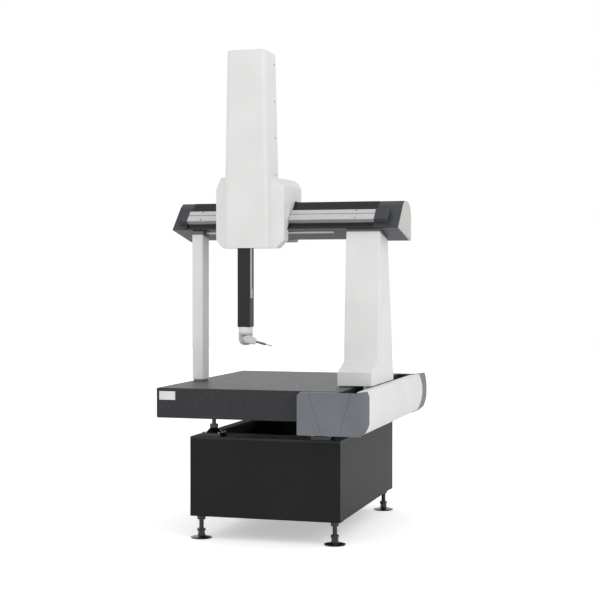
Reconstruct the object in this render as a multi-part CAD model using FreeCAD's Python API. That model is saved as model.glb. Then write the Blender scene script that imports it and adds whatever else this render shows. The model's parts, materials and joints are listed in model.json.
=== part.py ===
"""Bridge-type coordinate measuring machine, 600 x 800 x 540 mm travel.

Frame: +X to the right along the bridge beam, +Y from the front to the back of the table,
+Z up. While the pieces are built, the origin is on the floor under the centre of the granite
table; at the end everything is moved so that it lies under the centre of the whole machine.
Four rigid groups ride on each other: the standing machine, the bridge (travels in Y), the
carriage on its beam (travels in X) and the vertical ram (travels in Z) with the indexing
probe head at its lower end. Millimetres throughout.
"""
import FreeCAD, Part
import math
import os
from FreeCAD import Vector, Matrix

# ---------------------------------------------------------------- driving sizes
# Granite table and what carries it
TABLE_W = 1060.0
TABLE_D = 1520.0
TABLE_H = 168.0
TABLE_TOP = 860.0
TABLE_EDGE = 4.0

STAND_W = 876.0
STAND_D = 1336.0
STAND_H = 450.0
STAND_BOTTOM = 132.0
STAND_OFFSET_X = 75.0
POST = 60.0
TUBE_WALL = 4.0
RAIL_H = 60.0
SHEET = 3.0
DECK_D = 220.0
DECK_T = 12.0
SKIRT_INSET = 14.0

FOOT_PAD_R = 60.0
FOOT_PAD_H = 16.0
FOOT_INSET_X = 46.0
FOOT_INSET_Y = 58.0
FOOT_STUD_R = 13.0
FOOT_NUT_R = 24.0
FOOT_NUT_H = 26.0
FOOT_NUT_LOW_Z = 40.0

JACK_BASE_R = 58.0
JACK_BASE_H = 20.0
JACK_CONE_R = 20.0
JACK_CONE_H = 48.0
JACK_STUD_R = 12.0
JACK_NUT_R = 24.0
JACK_NUT_H = 20.0
JACK_INSET_X = 118.0
JACK_INSET_Y = 70.0

INSERT_R = 9.0
INSERT_BORE_R = 4.2
INSERT_DEPTH = 25.0
INSERT_COLUMNS = 3
INSERT_ROWS = 5
INSERT_PITCH_X = 250.0
INSERT_PITCH_Y = 200.0
INSERT_SHIFT_X = -60.0

# Side guide and drive of the bridge, on the right of the table
SLOT_W = 106.0
GUIDE_W = 40.0
GUIDE_H = 100.0
GUIDE_BELOW_TOP = 40.0
GUIDE_END_GAP = 28.0
SCALE_W = 20.0
SCALE_T = 2.0
AIR_GAP = 0.3
PAD_T = 12.0

COVER_OUT = 80.0
COVER_TOP = 868.0
COVER_BOTTOM = 648.0
COVER_TOP_IN = 22.0
COVER_BOTTOM_IN = 30.0
COVER_WALL = 4.0
COVER_LIP = 10.0
COVER_END = 52.0
COVER_END_R = 58.0
FRONT_CAP_L = 24.0
REAR_CAP_L = 190.0
CAP_LEFT = 306.0
CAP_TOP = 858.0
CAP_BOTTOM = 624.0
CAP_CHAMFER = 17.0
CAP_GROOVE = 4.0

Y_PULLEY_R = 22.0
Y_PULLEY_W = 24.0
Y_BELT_W = 20.0
BELT_T = 2.0
Y_BELT_Z = 752.0
Y_PULLEY_INSET = 26.0
Y_MOTOR_R = 30.0
Y_MOTOR_L = 62.0
Y_SHAFT_R = 6.0
BRACKET_W = 40.0
BRACKET_T = 16.0
BRACKET_GRIP = 90.0
BRACKET_IN = 4.0
BRACKET_PLATE = 8.0
BRACKET_END_GAP = 38.0
BRACKET_FOOT = 14.0

# Bridge
BRIDGE_Y = -250.0
TRUCK_PLATE = 18.0
TRUCK_IN_FRONT = 19.0
TRUCK_IN_BACK = 75.0
TRUCK_LIP = 30.0
TRUCK_LIP_T = 10.0
BEARING_L = 110.0
READER_L = 50.0
READER_H = 22.0
READER_GAP = 1.0
READER_OFFSET_X = -100.0
FOOT_Z = 868.0
LEG_W = 202.0
LEG_LEFT = 432.0
LEG_FRONT_TOP = 29.0
LEG_FRONT_LOW = -23.0
LEG_FOOT_FRONT = -180.0
LEG_FOOT_H = 76.0
LEG_FOOT_RISE = 55.0
LEG_BACK_TOP = 227.0
LEG_BACK_LOW = 394.0
LEG_SEAM = 96.0
LEG_SKIN = 4.0
LEG_CORE_INSET = 24.0
LEG_CORE_WALL = 14.0
LEG_EDGE_R = 6.0
RIGHT_SPACER_T = 12.5
COLUMN_W = 68.0
COLUMN_D = 109.0
COLUMN_RIGHT = -450.0
COLUMN_FRONT = 30.0
COLUMN_WALL = 8.0
COLUMN_EDGE_R = 5.0
COLUMN_BOTTOM = 872.0
LEFT_SPACER_T = 22.0
SPACER_INSET = 1.5

BEAM_TIP_Z = 1763.0
BEAM_RISE = 163.0
BEAM_TOP_BACK = 222.0
BEAM_DEPTH = 274.0
BEAM_BACK_H = 60.0
BEAM_SLOPE = 11.5
BEAM_WALL = 26.0
BEAM_LEFT = -632.0
BEAM_RIGHT = 744.0
BEAM_CAP_L = 86.0
BEAM_CAP_R = 146.0
BEAM_CAP_DEPTH = 320.0
BEAM_CAP_CUT = 26.0
BEAM_CAP_WALL = 3.0
CAP_PANEL_L = 84.0
CAP_PANEL_LEFT_L = 46.0
END_PLATE_T = 12.0
GUIDEWAY_T = 8.0
LOW_WAY_START = 7.0
RAIL_START = 48.0
RAIL_END = 131.0
HIGH_WAY_END = 229.0
RAIL_T = 27.0
RAIL_SLOT_W = 5.0
RAIL_SLOT_AT = 46.0
RAIL_SLOT_DEPTH = 10.0
X_SCALE_W = 30.0
X_SCALE_T = 3.0
X_SCALE_BACK = 72.0
X_SCALE_LEFT = -436.0
X_SCALE_RIGHT = 342.0

X_PULLEY_R = 12.0
X_BELT_W = 16.0
X_BELT_T = 1.5
X_BELT_RISE = 40.0
X_BELT_GAP = 4.5
X_MOTOR_R = 24.0
X_MOTOR_L = 62.0
X_SHAFT_R = 3.0
X_PULLEY_INSET = 42.0

# Carriage
CARRIAGE_X = -123.5
CARRIAGE_W = 416.0
CARRIAGE_FRONT = -65.0
WING_FRONT = -90.0
CARRIAGE_BACK = 297.0
CARRIAGE_TAIL = 75.0
CARRIAGE_TAIL_IN = 67.0
CARRIAGE_TAIL_TOP = 230.0
CARRIAGE_TAIL_LOW = -70.0
CARRIAGE_TOP = 300.0
CARRIAGE_BOTTOM = -113.0
CARRIAGE_BELLY = 20.0
CARRIAGE_SKIN = 4.0
BEAM_GAP = 5.0
CHAMFER_LOW = 47.0
CHAMFER_LEFT_X = 35.0
CHAMFER_LEFT_Z = 68.0
CHAMFER_RIGHT_X = 80.0
CHAMFER_RIGHT_Z = 55.0

FRAME_W = 300.0
FRAME_FRONT = -18.0
FRAME_PLATE_T = 14.0
FRAME_LOW = -95.0
FRAME_TOP = 270.0
FRAME_HEAD = 58.0
FRAME_GAP = 36.0
FRAME_SADDLE_GAP = 20.0
FRAME_TOP_T = 22.0
FRAME_BACK_T = 18.0
BEAM_PAD_X = 85.0
PAD_STUD = 8.0

TOWER_OFFSET_X = -6.0
TOWER_FRONT = -128.0
TOWER_BOTTOM_W = 276.0
TOWER_MID_W = 262.0
TOWER_TOP_W = 234.0
TOWER_MID_BACK = 101.0
TOWER_WING_BACK = -65.0
TOWER_TOP_BACK = 87.0
TOWER_TOP = 2798.0
TOWER_R = 30.0
TOWER_BACK_R = 8.0
TOWER_SKIN = 4.0
TOWER_CROWN = 12.0

# Ram, its guide and drive
RAM_OFFSET_X = -25.0
RAM_CENTRE_Y = -68.0
RAM_W = 76.0
RAM_L = 1100.0
RAM_BOTTOM = 1191.0
RAM_BORE_R = 22.0
RAM_EDGE = 2.0
RAM_FLOOR = 20.0
RAM_GLAND = 15.0
RUNNING_FIT = 0.05
GUIDE_PAD_T = 8.0
GUIDE_PLATE_T = 8.0
GUIDE_PAD_H = 60.0
GUIDE_PAD_W = 34.0
GUIDE_PAD_END = 12.0
GUIDE_WALL = 10.0
Z_SCALE_W = 30.0
Z_SCALE_T = 1.5
Z_SCALE_RISE = 169.0
Z_SCALE_INSET = 4.0
CLIP_H = 54.0
CLIP_T = 5.0
MAST_W = 80.0
MAST_T = 10.0
MAST_TOP = 2780.0
MAST_GAP = 22.0
ROOF_T = 12.0
FLANGE_T = 6.0
ROD_R = 8.0
PISTON_Z = 1900.0
PISTON_H = 24.0
Z_PULLEY_R = 14.0
Z_BELT_W = 16.0
Z_BELT_T = 1.5
Z_BELT_GAP = 16.0
Z_PULLEY_LOW = 2085.0
Z_PULLEY_HIGH = 2735.0
Z_MOTOR_R = 26.0
Z_MOTOR_L = 66.0
Z_SHAFT_R = 4.0
CLAMP_H = 30.0

# Probe head
ADAPTER_R = 41.5
ADAPTER_H = 34.0
HEAD_R = 41.0
HEAD_NECK_H = 38.0
HEAD_DOME_H = 34.0
TILT_DROP = 72.0
HEAD_TURN = 45.0
HEAD_TILT = 15.0
DRUM_R = 25.5
DRUM_START = 9.0
DRUM_L = 30.0
DRUM_PIN_R = 10.0
DRUM_PIN_L = 20.0
DRUM_EDGE_R = 6.0
HEAD_SHOULDER = 10.0
DRUM_NOSE = 52.0
NOSE_R = 17.0
MODULE_R = 6.5
MODULE_L = 34.0
KNUCKLE_R = 6.0
KNUCKLE_L = 34.0
STEM_R = 2.0
STEM_L = 42.0
BALL_R = 3.0

# ---------------------------------------------------------------- derived places
TABLE_RIGHT = TABLE_W / 2
TABLE_FRONT = -TABLE_D / 2
TABLE_BOTTOM = TABLE_TOP - TABLE_H
STAND_TOP = STAND_BOTTOM + STAND_H
SLOT_RIGHT = TABLE_RIGHT + SLOT_W
COVER_X = SLOT_RIGHT + COVER_OUT
COVER_FRONT = TABLE_FRONT - COVER_END
COVER_BACK = -COVER_FRONT
GUIDE_RIGHT = TABLE_RIGHT + GUIDE_W
GUIDE_TOP = TABLE_TOP - GUIDE_BELOW_TOP
GUIDE_BOTTOM = GUIDE_TOP - GUIDE_H
TRUCK_LEFT = GUIDE_RIGHT + PAD_T
TRUCK_RIGHT = TRUCK_LEFT + TRUCK_PLATE
Y_BELT_X = SLOT_RIGHT + 30.0
TAN_SLOPE = math.tan(math.radians(BEAM_SLOPE))
DIAG = math.sqrt(0.5)
CORE_LEFT = BEAM_LEFT + BEAM_CAP_L
CORE_RIGHT = BEAM_RIGHT - BEAM_CAP_R
RAM_X = CARRIAGE_X + RAM_OFFSET_X
RAM_Y = BRIDGE_Y + RAM_CENTRE_Y
TOWER_X = CARRIAGE_X + TOWER_OFFSET_X
X_BELT_Y = BEAM_DEPTH + X_BELT_GAP + X_BELT_T + X_PULLEY_R
X_BELT_Z = BEAM_TIP_Z + X_BELT_RISE
FRAME_BACK = X_BELT_Y + X_PULLEY_R + X_BELT_T + 7.0
HEAD_TOP = RAM_BOTTOM - ADAPTER_H
TILT_Z = RAM_BOTTOM - TILT_DROP
Z_BELT_Y = RAM_Y + RAM_W / 2 + Z_BELT_GAP + Z_PULLEY_R


# ---------------------------------------------------------------- small helpers
def box(x0, x1, y0, y1, z0, z1):
    """Block between two corners."""
    return Part.makeBox(x1 - x0, y1 - y0, z1 - z0, Vector(x0, y0, z0))


def cylinder(radius, length, start, axis):
    """Round bar that starts at a point and runs along an axis."""
    return Part.makeCylinder(radius, length, Vector(*start), Vector(*axis))


def cone(r0, r1, length, start, axis):
    """Tapered round bar."""
    return Part.makeCone(r0, r1, length, Vector(*start), Vector(*axis))


def prism(points, direction):
    """Closed outline pushed along a direction."""
    wire = Part.makePolygon([Vector(*p) for p in points] + [Vector(*points[0])])
    return Part.Face(wire).extrude(Vector(*direction))


def prism_x(outline, x0, x1):
    """Outline of (y, z) points pushed from x0 to x1."""
    return prism([(x0, y, z) for y, z in outline], (x1 - x0, 0, 0))


def prism_y(outline, y0, y1):
    """Outline of (x, z) points pushed from y0 to y1."""
    return prism([(x, y0, z) for x, z in outline], (0, y1 - y0, 0))


def prism_z(outline, z0, z1):
    """Outline of (x, y) points pushed from z0 to z1."""
    return prism([(x, y, z0) for x, y in outline], (0, 0, z1 - z0))


def hexagon(across, height, centre):
    """Hexagon nut blank standing on a point, by its corner radius."""
    x, y, z = centre
    turns = [math.radians(60 * k + 30) for k in range(6)]
    outline = [(x + across * math.cos(a), y + across * math.sin(a)) for a in turns]
    return prism_z(outline, z, z + height)


def group(solids):
    """Separate solids of one node."""
    return Part.makeCompound(solids)


def rounded_bar(x0, x1, y0, y1, z0, z1, radius):
    """Upright block with its four vertical edges rounded."""
    bar = box(x0, x1, y0, y1, z0, z1)
    edges = [e for e in bar.Edges if abs(e.BoundBox.ZLength - (z1 - z0)) < 1e-6]
    return bar.makeFillet(radius, edges)


# ---------------------------------------------------------------- stand
def foot_places():
    """Centres of the four levelling feet."""
    half_w = STAND_W / 2 - FOOT_INSET_X
    half_d = STAND_D / 2 - FOOT_INSET_Y
    return [(STAND_OFFSET_X + sx * half_w, sy * half_d) for sx in (-1, 1) for sy in (-1, 1)]


def leveling_feet():
    """Four levelling feet: a round pad with a rounded rim, its cone and the threaded stud."""
    feet = []
    rim = FOOT_PAD_H * 0.45
    for x, y in foot_places():
        outline = Part.makePolygon([
            Vector(0, 0, 0),
            Vector(FOOT_PAD_R - 3, 0, 0),
            Vector(FOOT_PAD_R, 0, 3),
            Vector(FOOT_PAD_R, 0, rim),
            Vector(FOOT_STUD_R + 8, 0, FOOT_PAD_H),
            Vector(FOOT_STUD_R + 5, 0, FOOT_NUT_LOW_Z),
            Vector(FOOT_STUD_R, 0, FOOT_NUT_LOW_Z),
            Vector(FOOT_STUD_R, 0, STAND_BOTTOM),
            Vector(0, 0, STAND_BOTTOM),
            Vector(0, 0, 0)])
        foot = Part.Face(outline).revolve(Vector(0, 0, 0), Vector(0, 0, 1), 360)
        foot.translate(Vector(x, y, 0))
        feet.append(foot)
    return group(feet)


def leveling_nuts():
    """One nut under the stand and one jam nut above the pad on every stud."""
    nuts = []
    for x, y in foot_places():
        for z, height in ((STAND_BOTTOM - FOOT_NUT_H, FOOT_NUT_H),
                          (FOOT_NUT_LOW_Z, FOOT_NUT_H * 0.6)):
            nut = hexagon(FOOT_NUT_R, height, (x, y, z))
            nuts.append(nut.cut(cylinder(FOOT_STUD_R, height, (x, y, z), (0, 0, 1))))
    return group(nuts)


def stand_posts():
    """Four square corner tubes, closed below where the feet screw in."""
    posts = []
    for sx in (-1, 1):
        for sy in (-1, 1):
            x = STAND_OFFSET_X + sx * (STAND_W - POST) / 2 - sx * SHEET
            y = sy * (STAND_D - POST) / 2 - sy * SHEET
            post = box(x - POST / 2, x + POST / 2, y - POST / 2, y + POST / 2,
                       STAND_BOTTOM, STAND_TOP - DECK_T)
            inner = POST / 2 - TUBE_WALL
            hollow = box(x - inner, x + inner, y - inner, y + inner,
                         STAND_BOTTOM + 12, STAND_TOP)
            posts.append(post.cut(hollow))
    return group(posts)


def tube(x0, x1, y0, y1, z0, z1, along):
    """Square tube between two corners, open at both ends along one axis."""
    wall = Vector(TUBE_WALL, TUBE_WALL, TUBE_WALL)
    wall[along] = -1
    low = Vector(x0, y0, z0) + wall
    high = Vector(x1, y1, z1) - wall
    return box(x0, x1, y0, y1, z0, z1).cut(box(low.x, high.x, low.y, high.y, low.z, high.z))


def stand_rails():
    """Square rails between the posts, a ring at the foot and a ring under the deck."""
    rails = []
    left = STAND_OFFSET_X - STAND_W / 2 + SHEET
    right = STAND_OFFSET_X + STAND_W / 2 - SHEET
    front = -STAND_D / 2 + SHEET
    back = -front
    for z in (STAND_BOTTOM, STAND_TOP - DECK_T - RAIL_H):
        for y in (front, back - POST):
            rails.append(tube(left + POST, right - POST, y, y + POST, z, z + RAIL_H, 0))
        for x in (left, right - POST):
            rails.append(tube(x, x + POST, front + POST, back - POST, z, z + RAIL_H, 1))
    return group(rails)


def stand_deck():
    """Top plate: a frame with a broad front and rear deck that carries the jacks."""
    left = STAND_OFFSET_X - STAND_W / 2
    right = STAND_OFFSET_X + STAND_W / 2
    half = STAND_D / 2
    plate = box(left, right, -half, half, STAND_TOP - DECK_T, STAND_TOP)
    window = box(left + POST, right - POST, -half + DECK_D, half - DECK_D,
                 STAND_TOP - DECK_T, STAND_TOP)
    return plate.cut(window)


def stand_end_panels():
    """Front and rear sheets of the stand."""
    left = STAND_OFFSET_X - STAND_W / 2
    return group([box(left, left + STAND_W, y, y + SHEET, STAND_BOTTOM, STAND_TOP - DECK_T)
                  for y in (-STAND_D / 2, STAND_D / 2 - SHEET)])


def stand_side_panels():
    """Two side sheets, their lower edge stepped up between the corner posts."""
    panels = []
    half = STAND_D / 2 - SHEET
    step = half - POST + 4
    for x in (STAND_OFFSET_X - STAND_W / 2, STAND_OFFSET_X + STAND_W / 2 - SHEET):
        outline = [(-half, STAND_BOTTOM), (-step, STAND_BOTTOM),
                   (-step, STAND_BOTTOM + SKIRT_INSET), (step, STAND_BOTTOM + SKIRT_INSET),
                   (step, STAND_BOTTOM), (half, STAND_BOTTOM),
                   (half, STAND_TOP - DECK_T), (-half, STAND_TOP - DECK_T)]
        panels.append(prism_x(outline, x, x + SHEET))
    return group(panels)


# ---------------------------------------------------------------- table and jacks
def jack_places():
    """Three-point support: two jacks in front, one at the middle of the back."""
    left = STAND_OFFSET_X - STAND_W / 2 + JACK_INSET_X
    right = STAND_OFFSET_X + STAND_W / 2 - JACK_INSET_X
    front = -STAND_D / 2 + JACK_INSET_Y
    return [(left, front), (right, front), (STAND_OFFSET_X, -front)]


def jack_bases():
    """Flanged cones bolted on the deck, bored for the screw."""
    bases = []
    for x, y in jack_places():
        flange = rounded_bar(x - JACK_BASE_R, x + JACK_BASE_R, y - JACK_BASE_R,
                             y + JACK_BASE_R, STAND_TOP, STAND_TOP + JACK_BASE_H, 10)
        body = cone(JACK_BASE_R * 0.8, JACK_CONE_R, JACK_CONE_H - JACK_BASE_H,
                    (x, y, STAND_TOP + JACK_BASE_H), (0, 0, 1))
        bore = cylinder(JACK_STUD_R + RUNNING_FIT, JACK_CONE_H, (x, y, STAND_TOP + 6), (0, 0, 1))
        bases.append(flange.fuse(body).cut(bore).removeSplitter())
    return group(bases)


def jack_screws():
    """Levelling screws with the round head that bears on the granite."""
    screws = []
    head_h = 12.0
    for x, y in jack_places():
        shank = cylinder(JACK_STUD_R, TABLE_BOTTOM - STAND_TOP - 6, (x, y, STAND_TOP + 6),
                         (0, 0, 1))
        head = cylinder(JACK_STUD_R * 1.6, head_h, (x, y, TABLE_BOTTOM - head_h), (0, 0, 1))
        screws.append(shank.fuse(head).removeSplitter())
    return group(screws)


def jack_nuts():
    """Lock nut on each levelling screw, tight on its cone."""
    nuts = []
    for x, y in jack_places():
        z = STAND_TOP + JACK_CONE_H
        nut = hexagon(JACK_NUT_R, JACK_NUT_H, (x, y, z))
        nuts.append(nut.cut(cylinder(JACK_STUD_R, JACK_NUT_H, (x, y, z), (0, 0, 1))))
    return group(nuts)


def insert_places():
    """Centres of the threaded inserts on the table."""
    places = []
    for i in range(INSERT_COLUMNS):
        for j in range(INSERT_ROWS):
            x = INSERT_SHIFT_X + (i - (INSERT_COLUMNS - 1) / 2) * INSERT_PITCH_X
            y = (j - (INSERT_ROWS - 1) / 2) * INSERT_PITCH_Y
            places.append((x, y))
    return places


def granite_table():
    """Granite plate with eased edges and blind holes for the inserts."""
    plate = box(-TABLE_RIGHT, TABLE_RIGHT, TABLE_FRONT, -TABLE_FRONT, TABLE_BOTTOM, TABLE_TOP)
    plate = plate.makeChamfer(TABLE_EDGE, plate.Edges)
    holes = [cylinder(INSERT_R, INSERT_DEPTH, (x, y, TABLE_TOP - INSERT_DEPTH), (0, 0, 1))
             for x, y in insert_places()]
    return plate.cut(group(holes))


def table_inserts():
    """Threaded steel inserts flush with the table."""
    inserts = []
    for x, y in insert_places():
        bush = cylinder(INSERT_R, INSERT_DEPTH, (x, y, TABLE_TOP - INSERT_DEPTH), (0, 0, 1))
        bore = cylinder(INSERT_BORE_R, INSERT_DEPTH - 4,
                        (x, y, TABLE_TOP - INSERT_DEPTH + 4), (0, 0, 1))
        inserts.append(bush.cut(bore))
    return group(inserts)


# ---------------------------------------------------------------- side guide and drive
def y_guide_rail():
    """Guide bar on the right flank of the table."""
    end = -TABLE_FRONT - GUIDE_END_GAP
    return box(TABLE_RIGHT, GUIDE_RIGHT, -end, end, GUIDE_BOTTOM, GUIDE_TOP)


def y_scale():
    """Measuring scale on top of the guide bar."""
    end = -TABLE_FRONT - GUIDE_END_GAP
    middle = TABLE_RIGHT + GUIDE_W / 2
    return box(middle - SCALE_W / 2, middle + SCALE_W / 2, -end, end,
               GUIDE_TOP, GUIDE_TOP + SCALE_T)


def belt_loop(radius, thickness, width, low, high):
    """Closed flat belt in the plane of two pulleys, for pulley axes along +Z at x=low, high."""
    def slab(r):
        ends = [cylinder(r, width, (x, 0, -width / 2), (0, 0, 1)) for x in (low, high)]
        middle = box(low, high, -r, r, -width / 2, width / 2)
        return ends[0].fuse([ends[1], middle]).removeSplitter()
    return slab(radius + thickness).cut(slab(radius))


def pulley(radius, width, bore, flange):
    """Flanged belt pulley about +Z, centred on the origin."""
    wheel = cylinder(radius - RUNNING_FIT * 4, width, (0, 0, -width / 2), (0, 0, 1))
    rims = [cylinder(radius + flange, 2, (0, 0, z), (0, 0, 1))
            for z in (-width / 2 - 2, width / 2)]
    hole = cylinder(bore, width + 8, (0, 0, -width / 2 - 4), (0, 0, 1))
    return wheel.fuse(rims).cut(hole).removeSplitter()


def placed(shape, x_axis, z_axis, origin):
    """Shape turned so that its own X and Z follow the two given directions, then moved."""
    ax = Vector(*x_axis)
    az = Vector(*z_axis)
    ay = az.cross(ax)
    turn = Matrix(ax.x, ay.x, az.x, origin[0], ax.y, ay.y, az.y, origin[1],
                  ax.z, ay.z, az.z, origin[2], 0, 0, 0, 1)
    result = shape.copy()
    result.Placement = FreeCAD.Placement(turn).multiply(result.Placement)
    return result


def y_pulley_places():
    """Front and rear pulley centres as y values."""
    return (TABLE_FRONT + Y_PULLEY_INSET, -TABLE_FRONT - Y_PULLEY_INSET)


def y_brackets():
    """Bars under the table that carry the drive and its cover; the end ones stand up."""
    bars = []
    front, back = y_pulley_places()
    plate_x = SLOT_RIGHT + BRACKET_IN
    for y in (front, front / 3, back / 3, back):
        bar = box(TABLE_RIGHT - BRACKET_GRIP, COVER_X - BRACKET_END_GAP,
                  y - BRACKET_W / 2, y + BRACKET_W / 2, TABLE_BOTTOM - BRACKET_T, TABLE_BOTTOM)
        floor = CAP_BOTTOM if y > COVER_BACK - REAR_CAP_L else COVER_BOTTOM - COVER_LIP
        bar = bar.fuse(box(SLOT_RIGHT, SLOT_RIGHT + BRACKET_FOOT, y - BRACKET_W / 2,
                           y + BRACKET_W / 2, floor + COVER_WALL, TABLE_BOTTOM - BRACKET_T))
        if y in (front, back):
            upright = box(plate_x, plate_x + BRACKET_PLATE, y - BRACKET_W / 2, y + BRACKET_W / 2,
                          TABLE_BOTTOM, Y_BELT_Z + BRACKET_W / 2)
            bar = bar.fuse(upright)
        if y == front:
            pin = cylinder(Y_SHAFT_R, Y_BELT_X + Y_PULLEY_W / 2 + 3 - plate_x,
                           (plate_x, y, Y_BELT_Z), (1, 0, 0))
            bar = bar.fuse(pin)
        if y == back:
            bar = bar.cut(cylinder(Y_SHAFT_R + 1, BRACKET_PLATE, (plate_x, y, Y_BELT_Z),
                                   (1, 0, 0)))
        bars.append(bar.removeSplitter())
    return group(bars)


def y_motor():
    """Drive motor of the bridge on the rear bracket, with its shaft."""
    y = y_pulley_places()[1]
    face = SLOT_RIGHT + BRACKET_IN
    body = cylinder(Y_MOTOR_R, Y_MOTOR_L, (face - Y_MOTOR_L, y, Y_BELT_Z), (1, 0, 0))
    shaft = cylinder(Y_SHAFT_R, Y_BELT_X + Y_PULLEY_W / 2 + 3 - face, (face, y, Y_BELT_Z),
                     (1, 0, 0))
    return body.fuse(shaft).removeSplitter()


def y_belt():
    """Toothless outline of the bridge drive belt."""
    front, back = y_pulley_places()
    loop = belt_loop(Y_PULLEY_R, BELT_T, Y_BELT_W, front, back)
    return placed(loop, (0, 1, 0), (1, 0, 0), (Y_BELT_X, 0, Y_BELT_Z))


def y_pulley(y):
    """Bridge drive pulley at a place along the table."""
    wheel = pulley(Y_PULLEY_R, Y_PULLEY_W, Y_SHAFT_R + RUNNING_FIT, 3)
    return placed(wheel, (0, 1, 0), (1, 0, 0), (Y_BELT_X, y, Y_BELT_Z))


def y_motor_pulley():
    """Pulley on the motor shaft."""
    return y_pulley(y_pulley_places()[1])


def y_idler_pulley():
    """Pulley on the front pin."""
    return y_pulley(y_pulley_places()[0])


def side_profile(inset, with_cap):
    """Face of the bulged cover section, seen from the front, shrunk by an inset.

    with_cap adds the flat part in front of the table; without it the section starts at the
    slot and is left open towards it.
    """
    top = COVER_TOP - inset
    top_x = COVER_X - COVER_TOP_IN - inset * 0.6
    low_x = COVER_X - COVER_BOTTOM_IN - inset * 0.6
    crown = Vector(COVER_X - inset, 0, (COVER_TOP + COVER_BOTTOM) / 2 + 10)
    start = Vector(top_x, 0, top)
    end = Vector(low_x, 0, COVER_BOTTOM + inset * 0.6)
    bulge = Part.Arc(start, crown, end).toShape()
    if with_cap:
        low = CAP_BOTTOM + inset
        rest = [end, Vector(low_x - COVER_BOTTOM_IN, 0, low), Vector(CAP_LEFT + inset, 0, low),
                Vector(CAP_LEFT + inset, 0, CAP_TOP - CAP_CHAMFER),
                Vector(CAP_LEFT + CAP_CHAMFER, 0, CAP_TOP - inset),
                Vector(SLOT_RIGHT, 0, CAP_TOP - inset), start]
    else:
        low = COVER_BOTTOM - COVER_LIP + inset
        inner = SLOT_RIGHT - inset
        rest = [end, Vector(low_x - COVER_LIP, 0, low), Vector(inner, 0, low),
                Vector(inner, 0, top - COVER_LIP / 2), start]
    return Part.Face(Part.Wire([bulge] + Part.makePolygon(rest).Edges))


def side_block(inset, with_cap, y0, y1):
    """Bulged section pushed along the table, its two outer end corners rounded in plan."""
    face = side_profile(inset, with_cap)
    face.translate(Vector(0, y0, 0))
    block = face.extrude(Vector(0, y1 - y0, 0))
    radius = COVER_END_R - inset
    edge = COVER_X - inset
    for end, sign in ((COVER_FRONT + inset, 1), (COVER_BACK - inset, -1)):
        centre = end + sign * radius
        low, high = sorted((end - sign, centre))
        corner = box(edge - radius, edge + 1, low, high, CAP_BOTTOM - 1, COVER_TOP + 1)
        round_bar = cylinder(radius, COVER_TOP - CAP_BOTTOM + 2,
                             (edge - radius, centre, CAP_BOTTOM - 1), (0, 0, 1))
        block = block.cut(corner.cut(round_bar))
    return block


def y_side_cover():
    """Long white cover of the bridge drive, a thin bulged shell open towards the slot."""
    y0 = COVER_FRONT + FRONT_CAP_L
    y1 = COVER_BACK - REAR_CAP_L
    return side_block(0, False, y0, y1).cut(side_block(COVER_WALL, False, y0 - 1, y1 + 1))


def end_cap(y0, y1, inner0, inner1):
    """End cap of the drive cover: a box shell in front of or behind the table."""
    shell = side_block(0, True, y0, y1)
    return shell.cut(side_block(COVER_WALL, True, inner0, inner1))


def y_front_cap():
    """Front cap with two slanted grooves, open above the slot."""
    y1 = TABLE_FRONT - 3
    cap = end_cap(COVER_FRONT, y1, COVER_FRONT + COVER_WALL, y1 + 1)
    behind = COVER_FRONT + FRONT_CAP_L
    cap = cap.cut(box(SLOT_RIGHT, COVER_X + 1, behind, y1 + 1, CAP_BOTTOM - 1, COVER_TOP + 1))
    cap = cap.cut(box(TABLE_RIGHT, SLOT_RIGHT, COVER_FRONT + COVER_WALL, y1 + 1,
                      CAP_TOP - COVER_WALL - 1, COVER_TOP + 1))
    for top_x, low_x in ((CAP_LEFT + 60, CAP_LEFT + 138), (CAP_LEFT + 299, CAP_LEFT + 232)):
        groove = prism_y([(top_x, CAP_TOP + 1), (top_x + CAP_GROOVE, CAP_TOP + 1),
                          (low_x + CAP_GROOVE, CAP_BOTTOM - 1), (low_x, CAP_BOTTOM - 1)],
                         COVER_FRONT - 1, COVER_FRONT + 1.5)
        cap = cap.cut(groove)
    return cap


def y_rear_cap():
    """Rear cap, which also closes the slot behind the table."""
    y0 = COVER_BACK - REAR_CAP_L
    wall = COVER_BACK - COVER_WALL
    cap = end_cap(y0, COVER_BACK, y0 - 1, wall)
    beside = box(CAP_LEFT - 1, SLOT_RIGHT, y0 - 1, -TABLE_FRONT + 3, CAP_BOTTOM - 1,
                 COVER_TOP + 1)
    return cap.cut(beside)


# ---------------------------------------------------------------- bridge legs
def at_bridge(outline):
    """Outline given from the beam's front lip, moved to its place: (y, z) points."""
    return [(BRIDGE_Y + y, z) for y, z in outline]


def underside(y, drop=0.0):
    """Height of the beam's sloping underside, or of a plane parallel to it and lower."""
    return BEAM_TIP_Z - y * TAN_SLOPE - drop / math.cos(math.radians(BEAM_SLOPE))


def leg_outline():
    """Side view of the right leg: leaning back edge, upright front, long stepped foot."""
    return [(LEG_FRONT_TOP, underside(LEG_FRONT_TOP, RIGHT_SPACER_T)),
            (LEG_FRONT_LOW, FOOT_Z + LEG_FOOT_H + LEG_FOOT_RISE),
            (LEG_FOOT_FRONT, FOOT_Z + LEG_FOOT_H),
            (LEG_FOOT_FRONT, FOOT_Z),
            (LEG_BACK_LOW, FOOT_Z),
            (LEG_BACK_TOP, underside(LEG_BACK_TOP, RIGHT_SPACER_T))]


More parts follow.
